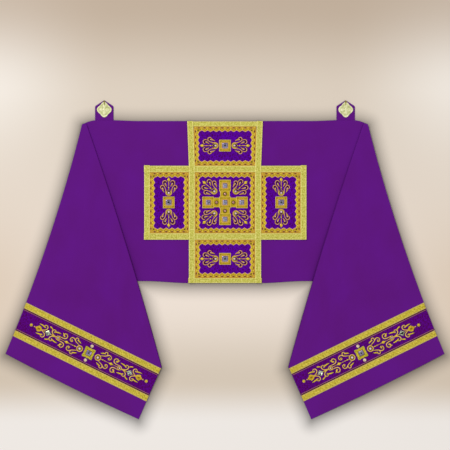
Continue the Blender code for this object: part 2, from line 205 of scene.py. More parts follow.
def make_clouding():
    """Makes a colour lighter and darker in broad and in fine patches."""
    inputs = (
        ("Coordinates", "NodeSocketVector", None),
        ("Colour", "NodeSocketColor", (0.5, 0.5, 0.5, 1.0)),
        ("Broad scale", "NodeSocketFloat", 12.0),
        ("Broad amount", "NodeSocketFloat", 0.1),
        ("Fine scale", "NodeSocketFloat", 300.0),
        ("Fine amount", "NodeSocketFloat", 0.2),
    )
    group, given, result = new_group("clouding", inputs, (("Colour", "NodeSocketColor"),))
    total = 1.0
    for size in ("Broad", "Fine"):
        patch = noise_value(group, given.outputs["Coordinates"], given.outputs[f"{size} scale"], 3.0)
        patch = calculated(group, "SUBTRACT", patch, 0.5)
        patch = calculated(group, "MULTIPLY", patch, given.outputs[f"{size} amount"])
        total = calculated(group, "MULTIPLY_ADD", patch, 2.0, total)
    deepened = calculated(group, "POWER", total, DEEPENING)
    factors = group.nodes.new("ShaderNodeCombineXYZ")
    for socket, value in zip(factors.inputs, (total, total, deepened)):
        group.links.new(value, socket)
    scale = group.nodes.new("ShaderNodeVectorMath")
    scale.operation = "MULTIPLY"
    group.links.new(given.outputs["Colour"], scale.inputs[0])
    group.links.new(factors.outputs[0], scale.inputs[1])
    group.links.new(scale.outputs[0], result.inputs["Colour"])
    return group


CLOUDING = make_clouding()
print("group", CLOUDING.name)

# %% [markdown]
# Every textile finish is then the same short recipe with its own values: thread lines choose
# between a shadow colour and a top colour, clouding breaks that up, and the lines again,
# through a Bump node, catch the light. Roughness, metal and shine are the same all over a
# piece, so they are set on the shader itself.

# %% A recipe for textile finishes
def group_node(tree, group, **values):
    """Places a group in a tree and feeds its inputs, named with _ for a space."""
    node = tree.nodes.new("ShaderNodeGroup")
    node.node_tree = group
    for label, value in values.items():
        feed(tree, node.inputs[label.replace("_", " ")], value)
    return node.outputs[0]


def new_material(name, roughness, metallic=0.0, specular=0.5):
    """A material, its tree and its Principled shader."""
    made = bpy.data.materials.new(name)
    made.use_nodes = True
    shader = made.node_tree.nodes["Principled BSDF"]
    shader.inputs["Roughness"].default_value = roughness
    shader.inputs["Metallic"].default_value = metallic
    shader.inputs["Specular IOR Level"].default_value = specular
    return made, made.node_tree, shader


def mixed(tree, factor, first, second):
    """A colour between two colours."""
    node = tree.nodes.new("ShaderNodeMix")
    node.data_type = "RGBA"
    feed(tree, node.inputs["Factor"], factor)
    feed(tree, node.inputs["A"], (*first, 1.0) if isinstance(first, tuple) else first)
    feed(tree, node.inputs["B"], (*second, 1.0) if isinstance(second, tuple) else second)
    return node.outputs["Result"]


def bumped(tree, shader, height, distance, strength=1.0):
    """Raises the surface by a height of 0 to 1 times distance, in metres."""
    bump = tree.nodes.new("ShaderNodeBump")
    bump.inputs["Strength"].default_value = strength
    bump.inputs["Distance"].default_value = distance
    tree.links.new(height, bump.inputs["Height"])
    tree.links.new(bump.outputs[0], shader.inputs["Normal"])


def uv_of(tree):
    """The UV map of the piece."""
    return tree.nodes.new("ShaderNodeUVMap").outputs[0]


def textile(name, shadow, top, lines, crossing=None, wander=0.5, relief=0.15 * MM, broad=0.10,
            fine=0.15, broad_scale=14.0, fine_scale=320.0, roughness=0.6, metallic=0.0, specular=0.1):
    """A finish of thread. lines and crossing are numbers of threads to a metre along U and V."""
    made, tree, shader = new_material(name, roughness, metallic, specular)
    uv = uv_of(tree)
    height = group_node(
        tree, THREAD_LINES, Coordinates=uv, Lines_along_U=lines[0], Lines_along_V=lines[1], Wander=wander
    )
    if crossing:
        other = group_node(
            tree, THREAD_LINES, Coordinates=uv, Lines_along_U=crossing[0], Lines_along_V=crossing[1],
            Wander=wander,
        )
        height = calculated(tree, "MAXIMUM", height, other)
    colour = mixed(tree, height, shadow, top)
    colour = group_node(
        tree, CLOUDING, Coordinates=uv, Colour=colour, Broad_scale=broad_scale, Broad_amount=broad,
        Fine_scale=fine_scale, Fine_amount=fine,
    )
    tree.links.new(colour, shader.inputs["Base Color"])
    bumped(tree, shader, height, relief)
    return made


print("recipe ready")

# %% [markdown]
# The colours, in linear light. The cloth is a saturated violet with a smooth close weave, the
# panels are a bluer violet and the bands a redder one. There are two golds of galloon: a pale
# greenish one on the cross, and a warmer one on the ends.

# %% Cloth and ground finishes
VIOLET = (0.114, 0.0080, 0.212)
PANEL_VIOLET = (0.090, 0.0004, 0.300)
PANEL_MAROON = (0.062, 0.0004, 0.080)
BAND_VIOLET = (0.088, 0.0008, 0.185)
BAND_MAROON = (0.070, 0.0006, 0.070)


def darker(colour, share):
    """A colour with this share of its light left."""
    return tuple(part * share for part in colour)


CLOTH_FINISH = textile(
    "purple_cloth_weave", darker(VIOLET, 0.86), VIOLET, (1300.0, 0.0), (0.0, 1300.0), wander=0.2,
    relief=0.05 * MM, broad=0.07, fine=0.05, broad_scale=7.0, fine_scale=500.0, roughness=0.62,
    specular=0.03,
)
PANEL_FINISH = textile(
    "panel_ground_weave", PANEL_MAROON, PANEL_VIOLET, (62.0, 40.0), (-50.0, 70.0), wander=2.2,
    relief=0.10 * MM, broad=0.15, fine=0.45, fine_scale=230.0, roughness=0.60, specular=0.03,
)
BAND_FINISH = textile(
    "band_ground_weave", BAND_MAROON, BAND_VIOLET, (62.0, 40.0), (-50.0, 70.0), wander=2.2,
    relief=0.10 * MM, broad=0.15, fine=0.45, fine_scale=230.0, roughness=0.60, specular=0.03,
)
print("cloth and grounds mixed")

# %% [markdown]
# Gold thread is a strip of metal wound on a core. Close by it is half mirror and half yellow
# silk, so its finishes are partly metallic, and its shadow colour is brown and not grey.

# %% Thread finishes
PALE_GOLD = (0.600, 0.560, 0.095)
WARM_GOLD = (0.600, 0.500, 0.038)
SATIN_GOLD = (0.700, 0.430, 0.018)
YELLOW_SATIN = (0.640, 0.540, 0.025)
PEACH = (0.920, 0.500, 0.230)
HONEY = (0.900, 0.600, 0.160)
OLD_GOLD = (0.590, 0.420, 0.006)
BROWN = (0.160, 0.036, 0.034)
OLIVE = (0.300, 0.200, 0.008)

GALLOON_FINISH = textile(
    "pale_galloon_weave", darker(PALE_GOLD, 0.70), PALE_GOLD, (420.0, 210.0), (420.0, -210.0), wander=0.3,
    relief=0.20 * MM, broad=0.12, fine=0.80, broad_scale=30.0, fine_scale=190.0, roughness=0.45,
    metallic=0.20, specular=0.25,
)
SELVEDGE_FINISH = textile(
    "pale_galloon_edge", (0.560, 0.480, 0.100), (0.800, 0.740, 0.220), (480.0, 160.0), wander=0.2,
    relief=0.20 * MM, fine=0.40, fine_scale=190.0, roughness=0.40, metallic=0.20, specular=0.25,
)
WARM_GALLOON_FINISH = textile(
    "warm_galloon_weave", (0.430, 0.290, 0.040), WARM_GOLD, (88.0, 70.0), (420.0, -210.0), wander=0.3,
    relief=0.22 * MM, broad=0.16, fine=0.80, broad_scale=30.0, fine_scale=170.0, roughness=0.45,
    metallic=0.20, specular=0.25,
)
WARM_EDGE_FINISH = textile(
    "warm_galloon_edge", (0.480, 0.340, 0.070), (0.680, 0.540, 0.140), (480.0, 160.0), wander=0.2,
    relief=0.20 * MM, fine=0.40, fine_scale=190.0, roughness=0.40, metallic=0.20, specular=0.25,
)
SATIN_FINISH = textile(
    "gold_satin_stitch", darker(SATIN_GOLD, 0.60), SATIN_GOLD, (900.0, 0.0), wander=0.6,
    relief=0.18 * MM, broad=0.30, fine=0.50, broad_scale=90.0, fine_scale=260.0, roughness=0.42,
    metallic=0.20, specular=0.25,
)
YELLOW_SATIN_FINISH = textile(
    "yellow_satin_stitch", darker(YELLOW_SATIN, 0.60), YELLOW_SATIN, (900.0, 0.0), wander=0.6,
    relief=0.18 * MM, broad=0.30, fine=0.50, broad_scale=90.0, fine_scale=260.0, roughness=0.42,
    metallic=0.20, specular=0.25,
)
SETTING_FINISH = textile(
    "old_gold_satin_stitch", darker(OLD_GOLD, 0.62), OLD_GOLD, (900.0, 0.0), wander=0.6,
    relief=0.18 * MM, broad=0.35, fine=0.50, broad_scale=80.0, fine_scale=260.0, roughness=0.42,
    metallic=0.20, specular=0.2,
)
PETAL_THREAD = dict(
    lines=(900.0, 0.0), wander=0.6, relief=0.18 * MM, broad=0.35, fine=0.45, broad_scale=80.0,
    fine_scale=260.0, roughness=0.42, metallic=0.20, specular=0.2,
)
PETAL_FINISH = textile(
    "olive_gold_satin_petals", darker(OLD_GOLD, 0.70), (0.620, 0.405, 0.008), **PETAL_THREAD
)
BRIGHT_PETAL_FINISH = textile(
    "yellow_satin_petals", (0.480, 0.340, 0.006), (0.740, 0.560, 0.010), **PETAL_THREAD
)
CHAIN_FINISH = textile(
    "orange_gold_chain_ground", (0.380, 0.200, 0.018), (0.680, 0.390, 0.035), (900.0, 0.0), wander=0.6,
    relief=0.18 * MM, broad=0.35, fine=0.45, broad_scale=80.0, fine_scale=260.0, roughness=0.45,
    metallic=0.10, specular=0.2,
)
LEMON_FINISH = textile(
    "lemon_knots", (0.560, 0.470, 0.030), (0.860, 0.760, 0.070), (420.0, 260.0), wander=0.2,
    relief=0.20 * MM, broad=0.20, fine=0.20, broad_scale=70.0, roughness=0.42, specular=0.2,
)
RIM_FINISH = textile(
    "light_gold_rim", (0.560, 0.360, 0.040), (0.860, 0.620, 0.110), (420.0, 260.0), wander=0.2,
    relief=0.20 * MM, broad=0.25, fine=0.30, broad_scale=70.0, roughness=0.40, metallic=0.20, specular=0.25,
)
HONEY_FINISH = textile(
    "honey_gold_cord", (0.560, 0.300, 0.060), HONEY, (420.0, 260.0), wander=0.2,
    relief=0.22 * MM, broad=0.45, fine=0.30, broad_scale=60.0, roughness=0.42, metallic=0.15, specular=0.3,
)
CORD_FINISH = textile(
    "peach_gold_cord", (0.500, 0.200, 0.060), PEACH, (420.0, 260.0), wander=0.2,
    relief=0.22 * MM, broad=0.40, fine=0.30, broad_scale=70.0, roughness=0.42, metallic=0.15, specular=0.3,
)
BRIGHT_FINISH = textile(
    "bright_gold_cord", (0.500, 0.320, 0.010), (0.900, 0.650, 0.040), (420.0, 260.0), wander=0.2,
    relief=0.20 * MM, broad=0.20, fine=0.25, broad_scale=60.0, roughness=0.36, metallic=0.25, specular=0.3,
)
DASH_FINISH = textile(
    "brown_stitches", darker(BROWN, 0.55), BROWN, (900.0, 0.0), wander=0.5,
    relief=0.15 * MM, broad=0.20, fine=0.25, roughness=0.60,
)
OLIVE_FINISH = textile(
    "olive_gold_stitches", darker(OLIVE, 0.55), OLIVE, (900.0, 0.0), wander=0.5,
    relief=0.15 * MM, broad=0.20, fine=0.25, roughness=0.50, metallic=0.15,
)
PIPING_FINISH = textile(
    "rose_gold_piping", (0.210, 0.050, 0.080), (0.460, 0.190, 0.210), (330.0, 200.0), wander=0.2,
    relief=0.20 * MM, broad=0.15, fine=0.20, roughness=0.50, metallic=0.10,
)
# Dark thread under and beside the gold, which also stands for the shade there: partly a real outline, partly
# painted shadow.
DARK_THREAD_AND_SHADE_FINISH = textile(
    "dark_thread_and_painted_shade", (0.030, 0.001, 0.022), (0.075, 0.003, 0.050), (500.0, 300.0), wander=0.3,
    relief=0.12 * MM, fine=0.20, roughness=0.65,
)
SEAM_FINISH = textile(
    "violet_seam_thread", (0.050, 0.004, 0.110), (0.160, 0.018, 0.300), (900.0, 500.0), wander=0.2,
    relief=0.08 * MM, fine=0.10, roughness=0.50,
)
print("thread finishes mixed")

# %% [markdown]
# The hard trimming is stone, pearl and cast metal. The stones are glass with foil behind it, which looks
# like dull silver with a violet cast, so a metallic base under a clear coat does better than
# real glass would on an opaque setting. Pearls are pale, a little rosy, and coated. The clasps
# are cast in a light gold, and their hollows get a darker, more olive finish.

# %% Stones, pearls and clasp metal
def stone_finish(name, rim, face, heart, heart_size):
    """Foil-backed glass. U and V run from -1 to 1 across the stone."""
    made, tree, shader = new_material(name, 0.14, 0.55)
    uv = uv_of(tree)
    split = tree.nodes.new("ShaderNodeSeparateXYZ")
    tree.links.new(uv, split.inputs[0])
    reach = calculated(
        tree, "MAXIMUM",
        calculated(tree, "ABSOLUTE", split.outputs["X"]), calculated(tree, "ABSOLUTE", split.outputs["Y"]),
    )
    glint = noise_value(tree, uv, 1.7, 1.0)
    reach = calculated(tree, "ADD", reach, calculated(tree, "MULTIPLY_ADD", glint, 0.24, -0.12))
    ramp = tree.nodes.new("ShaderNodeValToRGB")
    tree.links.new(reach, ramp.inputs[0])
    stops = ((0.0, heart), (heart_size, heart), (heart_size + 0.12, face), (0.72, face), (0.86, rim))
    while len(ramp.color_ramp.elements) < len(stops):
        ramp.color_ramp.elements.new(0.5)
    for element, (position, colour) in zip(ramp.color_ramp.elements, stops):
        element.position = position
        element.color = (*colour, 1.0)
    tree.links.new(ramp.outputs[0], shader.inputs["Base Color"])
    shader.inputs["Coat Weight"].default_value = 0.6
    shader.inputs["Coat Roughness"].default_value = 0.05
    return made


def hard_finish(name, hollow, face, roughness, metallic, scale):
    """Pearl or metal, clouded between two colours with faint pits."""
    made, tree, shader = new_material(name, roughness, metallic)
    place = tree.nodes.new("ShaderNodeTexCoord").outputs["Object"]
    patch = noise_value(tree, place, scale, 3.0)
    wide = tree.nodes.new("ShaderNodeMapRange")
    tree.links.new(patch, wide.inputs["Value"])
    wide.inputs["From Min"].default_value = 0.35
    wide.inputs["From Max"].default_value = 0.65
    tree.links.new(mixed(tree, wide.outputs[0], hollow, face), shader.inputs["Base Color"])
    bumped(tree, shader, noise_value(tree, place, scale * 6.0, 2.0), 0.04 * MM)
    return made


# Lit and shaded lilacs for the stones' facets: a painted highlight and a painted shade.
SHADED_FACET_LILAC, LIT_FACET_LILAC = (0.150, 0.085, 0.330), (0.480, 0.360, 0.540)
STONE_FINISH = stone_finish(
    "silver_lilac_stone", (0.220, 0.140, 0.420), (0.360, 0.350, 0.500), (0.160, 0.220, 0.180), 0.16
)
LONE_STONE_FINISH = stone_finish(
    "green_hearted_stone", (0.200, 0.130, 0.400), (0.290, 0.270, 0.400), (0.010, 0.020, 0.014), 0.26
)
GREEN_STONE_FINISH = stone_finish(
    "green_white_stone", (0.520, 0.640, 0.260), (0.700, 0.760, 0.640), (0.090, 0.140, 0.110), 0.18
)
PAINTED_SHADE_FACET_FINISH = stone_finish("painted_shade_facet", SHADED_FACET_LILAC, darker(LIT_FACET_LILAC, 0.35), SHADED_FACET_LILAC, 0.10)
PAINTED_HIGHLIGHT_FACET_FINISH = stone_finish("painted_highlight_facet", LIT_FACET_LILAC, (0.620, 0.520, 0.660), LIT_FACET_LILAC, 0.10)
PEARL_FINISH = hard_finish("rosy_pearl", (0.520, 0.330, 0.380), (0.760, 0.600, 0.620), 0.30, 0.0, 160.0)
ROSE_PEARL_FINISH = hard_finish(
    "rose_bead", (0.600, 0.330, 0.270), (0.860, 0.560, 0.460), 0.35, 0.0, 160.0
)
CREAM_PEARL_FINISH = hard_finish(
    "cream_pearl", (0.520, 0.360, 0.200), (0.780, 0.640, 0.440), 0.30, 0.0, 160.0
)
CLASP_FINISH = hard_finish(
    "pale_gold_casting", (0.620, 0.620, 0.290), (0.860, 0.830, 0.540), 0.52, 0.20, 150.0
)
TONGUE_FINISH = hard_finish(
    "dark_gold_tongue", (0.270, 0.235, 0.035), (0.460, 0.410, 0.080), 0.40, 0.45, 90.0
)
HOLLOW_FINISH = hard_finish(
    "clasp_hollows", (0.420, 0.440, 0.160), (0.640, 0.640, 0.320), 0.55, 0.20, 150.0
)
STUD_FINISH = hard_finish("copper_stud", (0.360, 0.150, 0.110), (0.620, 0.330, 0.260), 0.30, 0.40, 140.0)
print("hard finishes mixed")

# %% [markdown]
# Cloth, galloon and cords are all sheets laid point by point, so they share one helper. It adds
# a flat grid with the grid operator, moves every point to where it belongs, and writes the
# grid's UV map in metres, so that threads keep their size wherever the sheet goes.

# %% Lay a grid
def laid_grid(columns, rows, place, chart, *finishes):
    """A grid whose points go to place(column, row), with chart(column, row) as its UV map."""
    bpy.ops.mesh.primitive_grid_add(x_subdivisions=columns, y_subdivisions=rows, size=2.0)
    sheet = bpy.context.object
    mesh = sheet.data
    charted = []
    for vertex in mesh.vertices:
        column = round((vertex.co.x + 1.0) / 2.0 * columns)
        row = round((vertex.co.y + 1.0) / 2.0 * rows)
        vertex.co = place(column, row)
        charted.append(chart(column, row))
    layer = mesh.uv_layers.active.data
    for loop in mesh.loops:
        layer[loop.index].uv = charted[loop.vertex_index]
    for finish in finishes:
        mesh.materials.append(finish)
    return sheet


def thickened(sheet, thickness, edge=0.0):
    """Gives a sheet its thickness on both sides, and softens its edges."""
    solidify = sheet.modifiers.new("thickness", "SOLIDIFY")
    solidify.thickness = thickness
    solidify.offset = 0.0
    if edge:
        bevel = sheet.modifiers.new("soft_edge", "BEVEL")
        bevel.width = edge
        bevel.segments = 2
        bevel.angle_limit = math.radians(60.0)
    return apply_modifiers(sheet)


def smoothed(obj, angle=40.0):
    """Shades the object smooth except across edges sharper than the angle."""
    pick(obj)
    bpy.ops.object.shade_smooth_by_angle(angle=math.radians(angle))
    return obj


print("grid helper ready")

# %% [markdown]
# The veil is one strip of cloth, about 0.55 m by 2.7 m. At each shoulder it turns back under
# itself along one line and forward again along another, so the end slants down on top of two
# other layers. The lines and edges below are the ones the solid was made from. The fine sheet
# follows them column by column: the middle, a half turn, the hidden layer, a half turn, the end.

# %% The lines that the cloth follows
CLOTH = 1.6 * MM
LAYER_STEP = 2.8 * MM
FOLD_RADIUS = LAYER_STEP / 2
EDGE_CLEARANCE = 3.0 * MM
SETTLE_LENGTH = 0.080
OVERHANG_SETTLE = 0.040

UPPER_EDGE = 0.4853
SHOULDER_RISE = 0.0032
SHOULDER_DROP = 0.0150
RISE_FROM, RISE_TO = 0.300, 0.410
DROP_FROM, DROP_TO = 0.445, 0.499
LOWER_EDGE = -0.0815
LOWER_RISE = 0.0070
LOWER_RISE_FROM, LOWER_RISE_TO = 0.125, 0.280

BACK_FOLD_TOP = Vector((0.4945, 0.4765))
BACK_FOLD_LOW = Vector((0.6350, -0.0745))
FRONT_FOLD_TOP = Vector((0.4865, 0.4745))
FRONT_FOLD_LOW = Vector((0.2227, -0.3770))
FRONT_FOLD_BOW = 0.0085

SHOULDER_CORNER = Vector((0.4995, 0.4740))
HEM_OUTER = Vector((0.7680, -0.3290))
HEM_INNER = Vector((0.3020, -0.5580))
OUTER_EDGE_FLARE = 0.070
HEM_SHARE = 0.05
HEM_BOW = 0.004


def ease(value):
    """0 below 0, 1 above 1, and a smooth rise between."""
    t = min(max(value, 0.0), 1.0)
    return t * t * (3.0 - 2.0 * t)


def upper_edge_y(x):
    """The middle's upper edge, which rises a little and then drops at the shoulder."""
    rise = SHOULDER_RISE * ease((x - RISE_FROM) / (RISE_TO - RISE_FROM))
    past = max(0.0, (x - DROP_FROM) / (DROP_TO - DROP_FROM))
    return UPPER_EDGE + rise - SHOULDER_DROP * past * past


def lower_edge_y(x):
    """The middle's lower edge, which is a little shorter beside the cross."""
    share = (x - LOWER_RISE_FROM) / (LOWER_RISE_TO - LOWER_RISE_FROM)
    return LOWER_EDGE + LOWER_RISE * ease(share)


def outer_edge(share):
    """Outer edge of the end, from the shoulder corner (0) to the hem (1), flaring on the way."""
    along = HEM_OUTER - SHOULDER_CORNER
    x = SHOULDER_CORNER.x + (along.x - OUTER_EDGE_FLARE) * share + OUTER_EDGE_FLARE * share**2
    return Vector((x, SHOULDER_CORNER.y + along.y * share))


def inner_edge(share):
    """Free inner edge of the end, from the front fold (0) to the hem (1)."""
    return FRONT_FOLD_LOW.lerp(HEM_INNER, share)


def side_of(start, end, x, y):
    """Distance of a point to the left of the line from start to end."""
    along = (end - start).normalized()
    offset = Vector((x, y)) - start
    return along.x * offset.y - along.y * offset.x


def settled(distance, length):
    """1 on a layer, falling to 0 once the cloth above has come down past its edge."""
    return 1.0 - ease((distance - EDGE_CLEARANCE) / length)


def underlay_height(x, y):
    """Underside of the hidden layer, on the middle and then down past its lower edge."""
    return LAYER_STEP * settled(lower_edge_y(x) - y, SETTLE_LENGTH)


def end_height(x, y):
    """Underside of the end, on both layers and then down to the surface."""
    past_fold = side_of(BACK_FOLD_TOP, BACK_FOLD_LOW, x, y) - FOLD_RADIUS - CLOTH / 2
    past_hidden = side_of(BACK_FOLD_LOW, FRONT_FOLD_LOW, x, y)
    layers = settled(lower_edge_y(x) - y, SETTLE_LENGTH) + settled(past_hidden, SETTLE_LENGTH)
    return LAYER_STEP * layers * settled(past_fold, OVERHANG_SETTLE)


print("hem from", tuple(HEM_OUTER), "to", tuple(HEM_INNER))

# %% [markdown]
# Cloth that lies on a table is never quite flat. A low swell runs through everything at once:
# the layers, and whatever is sewn to them, rise and fall together, so nothing cuts through
# anything else. It is strongest down the ends, where broad flutes run from the shoulder to the
# hem, and weakest under the stiff embroidery of the cross.

# %% The swell of the cloth
SWELL = 1.5 * MM
FLUTES = 5.5
CROSS_HALF = 0.300


def swell(x, y):
    """How far everything at this place is lifted."""
    across = math.atan2(abs(x) - 0.47, 0.75 - y)
    flute = 0.5 + 0.5 * math.sin(2.0 * math.pi * FLUTES * across + 1.3 + 0.8 * noise.noise((x, y, 2.0)))
    cloud = 0.5 + 0.5 * noise.noise((4.2 * x, 4.2 * y, 7.0))
    free = 0.18 + 0.82 * ease((abs(x) - CROSS_HALF) / 0.12)
    lower = 0.55 + 0.45 * ease((0.25 - y) / 0.5)
    return SWELL * free * lower * (0.55 * flute + 0.45 * cloud)


def swollen(obj):
    """Lifts every point of a finished piece by the swell where it lies."""
    for vertex in obj.data.vertices:
        vertex.co.z += swell(vertex.co.x, vertex.co.y)
    return obj


print("swell at the hem", round(swell(0.5, -0.4) / MM, 2), "mm")

# %% [markdown]
# Now the sheet itself. Each column is a line of points from the upper to the lower edge, and the
# two half turns are columns that go round the fold. Half of the strip is laid and the other half
# is its mirror, as the two ends of the real veil are. Solidify gives it the thickness of silk,
# interlining and lining together.

# %% The columns of half a veil
MIDDLE_STEPS = 44
FOLD_STEPS = 8
HIDDEN_STEPS = 18
END_STEPS = 72
CORNER_SHARE = 1 / 24
INNER_EDGE_SKEW = 1.5
CLOTH_ROWS = 92
ROW_SKEW = 1.3


def across_cloth(top, low, bow, share):
    """Point on a line from the upper to the lower edge of the cloth, bowed towards the middle."""
    return top.lerp(low, share) - Vector((4.0 * bow * share * (1.0 - share), 0.0))


def middle_line(share, row):
    """Share 0 is the centre of the veil and 1 the back fold."""
    top_x = BACK_FOLD_TOP.x * share
    low_x = BACK_FOLD_LOW.x * share
    top = Vector((top_x, upper_edge_y(top_x)))
    low = Vector((low_x, lower_edge_y(low_x)))
    return across_cloth(top, low, 0.0, row), 0.0


def hidden_line(share, row):
    """The hidden layer, from the back fold (0) to the front fold (1)."""
    start = Vector((BACK_FOLD_TOP.x, upper_edge_y(BACK_FOLD_TOP.x)))
    top = start.lerp(FRONT_FOLD_TOP, share)
    low = BACK_FOLD_LOW.lerp(FRONT_FOLD_LOW, share)
    point = across_cloth(top, low, FRONT_FOLD_BOW * share, row)
    return point, underlay_height(*point)


def end_line(share, row):
    """The end of the veil, from the front fold (0) round the shoulder corner to the hem (1)."""
    if share < CORNER_SHARE:
        top = FRONT_FOLD_TOP.lerp(SHOULDER_CORNER, share / CORNER_SHARE)
    else:
        top = outer_edge((share - CORNER_SHARE) / (1.0 - CORNER_SHARE))
    low = inner_edge(share**INNER_EDGE_SKEW)
    point = across_cloth(top, low, FRONT_FOLD_BOW * (1.0 - share), row)
    hem = HEM_OUTER - HEM_INNER
    outward = Vector((hem.y, -hem.x)).normalized()
    point += outward * HEM_BOW * 4.0 * row * (1.0 - row) * ease(share * 4.0 - 3.0)
    return point, end_height(*point)


def turned(line, row, outward, angle, share):
    """A point on a fold: the line moved round a half turn that starts flat at angle 0."""
    point, height = line(share, row)
    return point + outward * FOLD_RADIUS * math.sin(angle), height + FOLD_RADIUS * (1.0 - math.cos(angle))


def cloth_columns():
    """The half veil from its centre line to its hem, each column a function of the row."""
    back_along = BACK_FOLD_LOW - BACK_FOLD_TOP
    front_along = FRONT_FOLD_LOW - FRONT_FOLD_TOP
    back_out = Vector((-back_along.y, back_along.x)).normalized()
    front_out = Vector((front_along.y, -front_along.x)).normalized()
    angles = [math.pi * step / FOLD_STEPS for step in range(1, FOLD_STEPS)]
    columns = [lambda row, s=s: middle_line(s / MIDDLE_STEPS, row) for s in range(MIDDLE_STEPS + 1)]
    columns += [lambda row, a=a: turned(middle_line, row, back_out, a, 1.0) for a in angles]
    columns += [lambda row, s=s: hidden_line(s / HIDDEN_STEPS, row) for s in range(HIDDEN_STEPS + 1)]
    columns += [lambda row, a=a: turned(hidden_line, row, front_out, a, 1.0) for a in angles]
    columns += [lambda row, s=s: end_line(s / END_STEPS, row) for s in range(END_STEPS + 1)]
    return columns


print("columns in half a veil:", len(cloth_columns()))

# %% The veil
def lay_veil():
    """One sheet folded at both shoulders."""
    columns = cloth_columns()
    last = len(columns) - 1
    spots = []
    for column in columns:
        line = []
        for row in range(CLOTH_ROWS + 1):
            point, height = column((row / CLOTH_ROWS) ** ROW_SKEW)
            line.append(Vector((point.x, point.y, height + CLOTH / 2)))
        spots.append(line)
    along = [[0.0] * (CLOTH_ROWS + 1)]
    for before, after in zip(spots, spots[1:]):
        along.append([a + (q - p).length for a, p, q in zip(along[-1], before, after)])
    across = []
    for line in spots:
        lengths = [0.0]
        for p, q in zip(line, line[1:]):
            lengths.append(lengths[-1] + (q - p).length)
        across.append(lengths)
    veil = laid_grid(
        last, CLOTH_ROWS, lambda c, r: spots[c][r], lambda c, r: (along[c][r], across[c][r]), CLOTH_FINISH
    )
    mirror = veil.modifiers.new("other_half", "MIRROR")
    mirror.merge_threshold = 0.01 * MM
    thickened(veil, CLOTH, 0.35 * MM)
    middle = CLOTH_ROWS // 2
    print("veil: strip", round(2.0 * along[-1][middle], 3), "by", round(across[0][-1], 3), "m")
    return smoothed(swollen(veil), 50.0)


veil = dressed(lay_veil(), "veil_cloth", "purple_cloth", "veil")
print(len(veil.data.polygons), "faces")

# %% [markdown]
# Where the end comes down on the middle, the cloth beside its folded edge lies in shade, and more
# so towards the lower edge, where the end lifts it. The line of the fold is known, so the finish
# darkens the cloth by its distance from that line, on the upper side alone.

# %% Shade beside the folded edge
FOLD_SHADE = 0.42
FOLD_SHADE_REACH = 9.0 * MM
FOLD_SHADE_FROM, FOLD_SHADE_TO = 0.02, 0.66
FACING_UP = 0.5


def shade_beside_fold(finish):
    """Darkens a cloth finish beside the front fold of either end."""
    tree = finish.node_tree
    place = tree.nodes.new("ShaderNodeSeparateXYZ")
    tree.links.new(tree.nodes.new("ShaderNodeTexCoord").outputs["Object"], place.inputs[0])
    facing = tree.nodes.new("ShaderNodeSeparateXYZ")
    tree.links.new(tree.nodes.new("ShaderNodeTexCoord").outputs["Normal"], facing.inputs[0])
    drop = FRONT_FOLD_TOP.y - FRONT_FOLD_LOW.y
    share = calculated(tree, "MULTIPLY_ADD", place.outputs["Y"], -1.0 / drop, FRONT_FOLD_TOP.y / drop)
    bow = calculated(tree, "MULTIPLY", share, calculated(tree, "SUBTRACT", 1.0, share))
    fold_x = calculated(tree, "MULTIPLY_ADD", share, FRONT_FOLD_LOW.x - FRONT_FOLD_TOP.x, FRONT_FOLD_TOP.x)
    fold_x = calculated(tree, "MULTIPLY_ADD", bow, -4.0 * FRONT_FOLD_BOW, fold_x)
    away = calculated(tree, "SUBTRACT", fold_x, calculated(tree, "ABSOLUTE", place.outputs["X"]))
    beside = calculated(tree, "GREATER_THAN", away, 0.0)
    near = calculated(tree, "EXPONENT", calculated(tree, "MULTIPLY", away, -1.0 / FOLD_SHADE_REACH))
    depth = tree.nodes.new("ShaderNodeMapRange")
    tree.links.new(share, depth.inputs["Value"])
    depth.inputs["From Min"].default_value = FOLD_SHADE_FROM
    depth.inputs["From Max"].default_value = FOLD_SHADE_TO
    depth.inputs["To Max"].default_value = FOLD_SHADE
    upper = calculated(tree, "GREATER_THAN", facing.outputs["Z"], FACING_UP)
    shade = calculated(tree, "MULTIPLY", calculated(tree, "MULTIPLY", near, beside), upper)
    kept = calculated(tree, "SUBTRACT", 1.0, calculated(tree, "MULTIPLY", shade, depth.outputs[0]))
    colour = tree.nodes["Principled BSDF"].inputs["Base Color"]
    shaded = tree.nodes.new("ShaderNodeVectorMath")
    shaded.operation = "SCALE"
    tree.links.new(colour.links[0].from_socket, shaded.inputs[0])
    tree.links.new(kept, shaded.inputs["Scale"])
    tree.links.new(shaded.outputs[0], colour)


shade_beside_fold(CLOTH_FINISH)
print("fold shaded over", round(FOLD_SHADE_REACH / MM), "mm")

# %% [markdown]
# Each end carries an embroidered band between two galloons, laid square to the slanting hem.
# A place on the end is found from how far across it is, from the outer edge (0) to the inner
# edge (1), and how far up from the hem. The heights are counted from the top of the cloth.

# %% Places on the ends
HEM_DEPTH = 68.0 * MM
GALLOON = 22.0 * MM
BAND = 83.0 * MM
TRIM_THICK = 1.0 * MM
TRIM_INSET = 0.6 * MM
SEAM_GAP = 0.3 * MM
BAND_LOW = HEM_DEPTH + GALLOON
BAND_HIGH = BAND_LOW + BAND
BAND_SETTING_ACROSS = 0.516
GROUND_TOP = CLOTH + SEAM_GAP + TRIM_THICK


def end_place(side, across, up):
    """A point on the end at the level the cloth's underside has there."""
    slope = outer_edge(1.0) - outer_edge(1.0 - HEM_SHARE)
    outer = outer_edge(1.0 - up * HEM_SHARE / slope.length)
    inner = inner_edge(1.0 - up / (HEM_INNER - FRONT_FOLD_LOW).length)
    width = (inner - outer).length
    share = (TRIM_INSET + across * (width - 2 * TRIM_INSET)) / width
    point = outer.lerp(inner, share)
    return Vector((side * point.x, point.y, end_height(point.x, point.y)))


def rested_on_end(obj, base):
    """Lifts a piece drawn on z = 0 to base above the underside of the end it lies on."""
    for vertex in obj.data.vertices:
        vertex.co.z += base + end_height(abs(vertex.co.x), vertex.co.y)
    return obj


